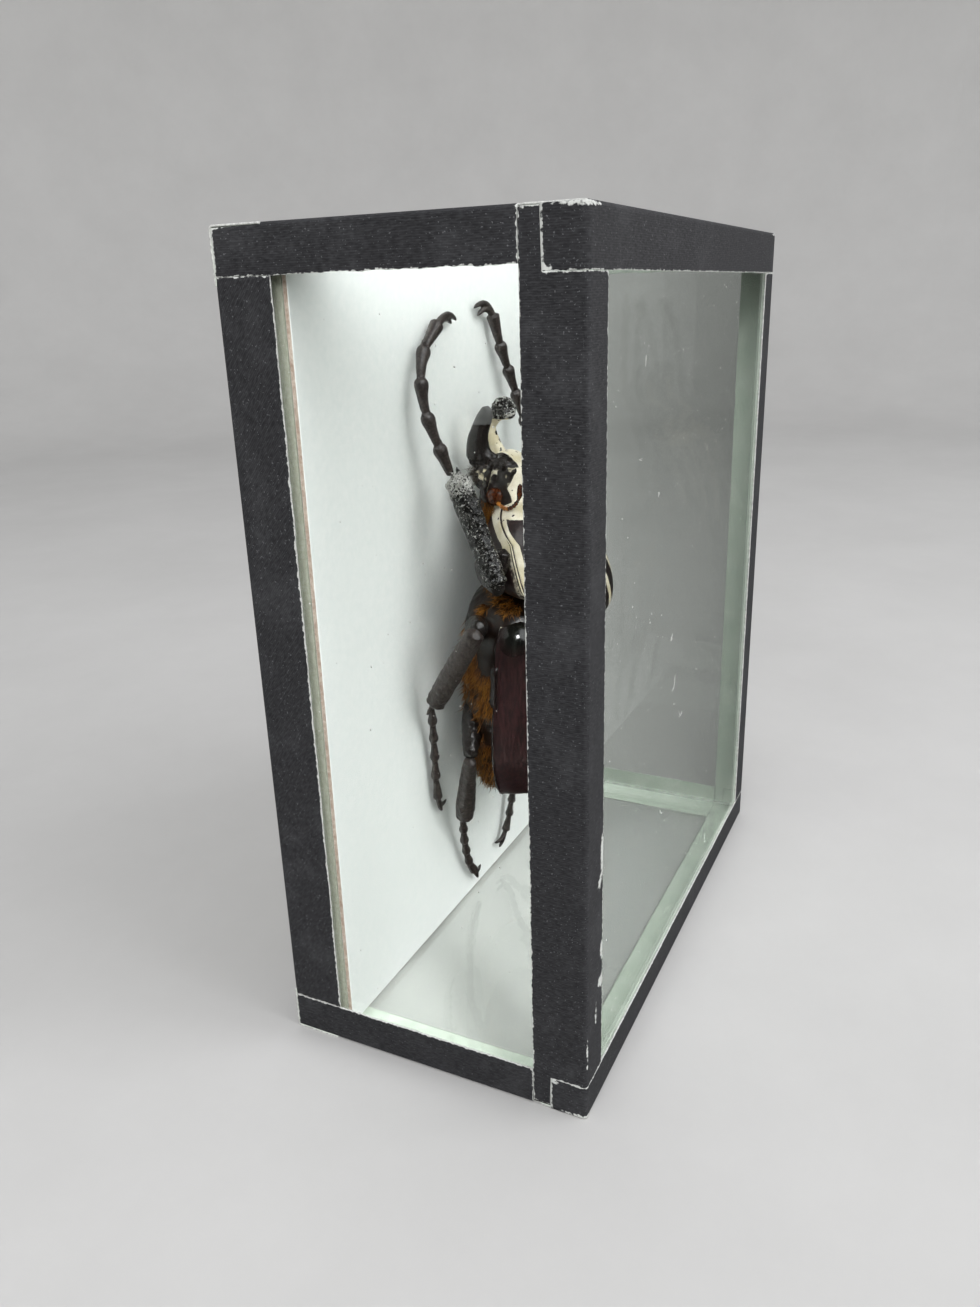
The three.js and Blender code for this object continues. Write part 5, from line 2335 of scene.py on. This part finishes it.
@dataclass
class Studio:
    """Camera, pale floor and soft light."""

    # The camera's place is in millimetres, its angles in radians, its focal length and image in pixels.
    camera_place: Place = (-195.98, -81.28, 140.71)
    azimuth: float = -1.11180
    elevation: float = 0.34343
    roll: float = -0.03135
    focal_pixels: float = 1006.697
    image_height: float = 1307.0
    sensor: float = 36.0
    floor_radius: float = 900.0
    cove_radius: float = 500.0
    wall: float = 700.0
    daylight: str = "#fafbff"
    sky: float = 0.9
    # The left lamp only fills the shadows, and the small one only puts glints on what shines.
    lamps: Sequence[Lamp] = (
        Lamp("front_box", (0.1, -0.85, 0.8), 1.0, 7.3),
        Lamp("left_box", (-0.85, -0.2, 0.75), 0.8, 6.8, glints=False),
        Lamp("spark", (-0.4, -0.5, 0.8), 0.16, 4.2, fills=False),
    )
    aim: Place = (0.0, 0.0, 0.08)

    def build(self) -> None:
        """Set up the camera, the floor and the light."""
        self.add_camera()
        self.add_floor()
        self.add_light()

    def add_camera(self) -> None:
        """Place the camera at the viewing angle."""
        data = bpy.data.cameras.new("view")
        data.sensor_width = self.sensor
        data.lens = self.focal_pixels / self.image_height * self.sensor
        data.clip_start = 0.01
        camera = bpy.data.objects.new("view", data)
        level = math.cos(self.elevation)
        back = Vector((
            math.sin(self.azimuth) * level,
            -math.cos(self.azimuth) * level,
            math.sin(self.elevation),
        ))
        right = (-back).cross(Vector((0, 0, 1))).normalized()
        up = right.cross(-back)
        turn_cos, turn_sin = math.cos(self.roll), math.sin(self.roll)
        across = turn_cos * right + turn_sin * up
        upward = -turn_sin * right + turn_cos * up
        camera.matrix_world = Matrix((
            (across.x, upward.x, back.x, self.camera_place[0] * MM),
            (across.y, upward.y, back.y, self.camera_place[1] * MM),
            (across.z, upward.z, back.z, self.camera_place[2] * MM),
            (0, 0, 0, 1),
        ))
        bpy.context.scene.collection.objects.link(camera)
        bpy.context.scene.camera = camera

    def add_floor(self) -> None:
        """Make a round floor whose rim curves up into a wall."""
        bend = np.linspace(0, math.pi / 2, 16)
        radii = [40.0, self.floor_radius / 2, *(self.floor_radius + self.cove_radius * np.sin(bend))]
        heights = [0.0, 0.0, *(self.cove_radius - self.cove_radius * np.cos(bend))]
        radii.append(radii[-1])
        heights.append(heights[-1] + self.wall)
        turn = np.linspace(2 * math.pi, 0, 97)
        grid = np.stack([
            np.outer(radii, np.cos(turn)),
            np.outer(radii, np.sin(turn)),
            np.repeat(np.array(heights)[:, None], len(turn), 1),
        ], -1)
        sheet = Draft.sheet(grid)
        middle = len(sheet.points)
        sheet.points = np.vstack([sheet.points, [0.0, 0.0, 0.0]])
        around = np.arange(len(turn) - 1)
        sheet.tris = np.stack([np.full(len(around), middle), around + 1, around], 1)
        mesh = bpy.data.meshes.new("floor")
        mesh.from_pydata((sheet.points * MM).tolist(), [], [*sheet.quads.tolist(), *sheet.tris.tolist()])
        mesh.polygons.foreach_set("use_smooth", np.ones(len(mesh.polygons), bool))
        mesh.materials.append(material_of(PaintedFloor()))
        floor = bpy.data.objects.new("floor", mesh)
        bpy.context.scene.collection.objects.link(floor)
        # A flag keeps the bright floor out of the glass, so that it mirrors only the lamps and the object.
        floor.visible_glossy = False

    def add_light(self) -> None:
        """Light the object with soft boxes and a pale sky."""
        scene = bpy.context.scene
        scene.view_settings.view_transform = "Standard"
        world = bpy.data.worlds.new("sky")
        world.use_nodes = True
        glow = world.node_tree.nodes["Background"]
        glow.inputs["Color"].default_value = linear(self.daylight)
        glow.inputs["Strength"].default_value = self.sky
        scene.world = world
        world.cycles_visibility.glossy = False
        for lamp in self.lamps:
            data = bpy.data.lights.new(lamp.name, "AREA")
            data.shape = "DISK"
            data.size = lamp.size
            data.energy = lamp.power
            data.color = linear(self.daylight)[:3]
            box = bpy.data.objects.new(lamp.name, data)
            box.location = lamp.place
            box.visible_diffuse = lamp.fills
            box.visible_glossy = lamp.glints
            box.rotation_euler = (Vector(self.aim) - Vector(lamp.place)).to_track_quat("-Z", "Y").to_euler()
            scene.collection.objects.link(box)


def main() -> None:
    """Build the studio, the case, the beetle and the dust in order."""
    logging.basicConfig(level=logging.INFO, format="%(name)s: %(message)s")
    Studio().build()
    Case().build()
    Beetle().build()
    Dust().build()


if __name__ == "__main__":
    main()
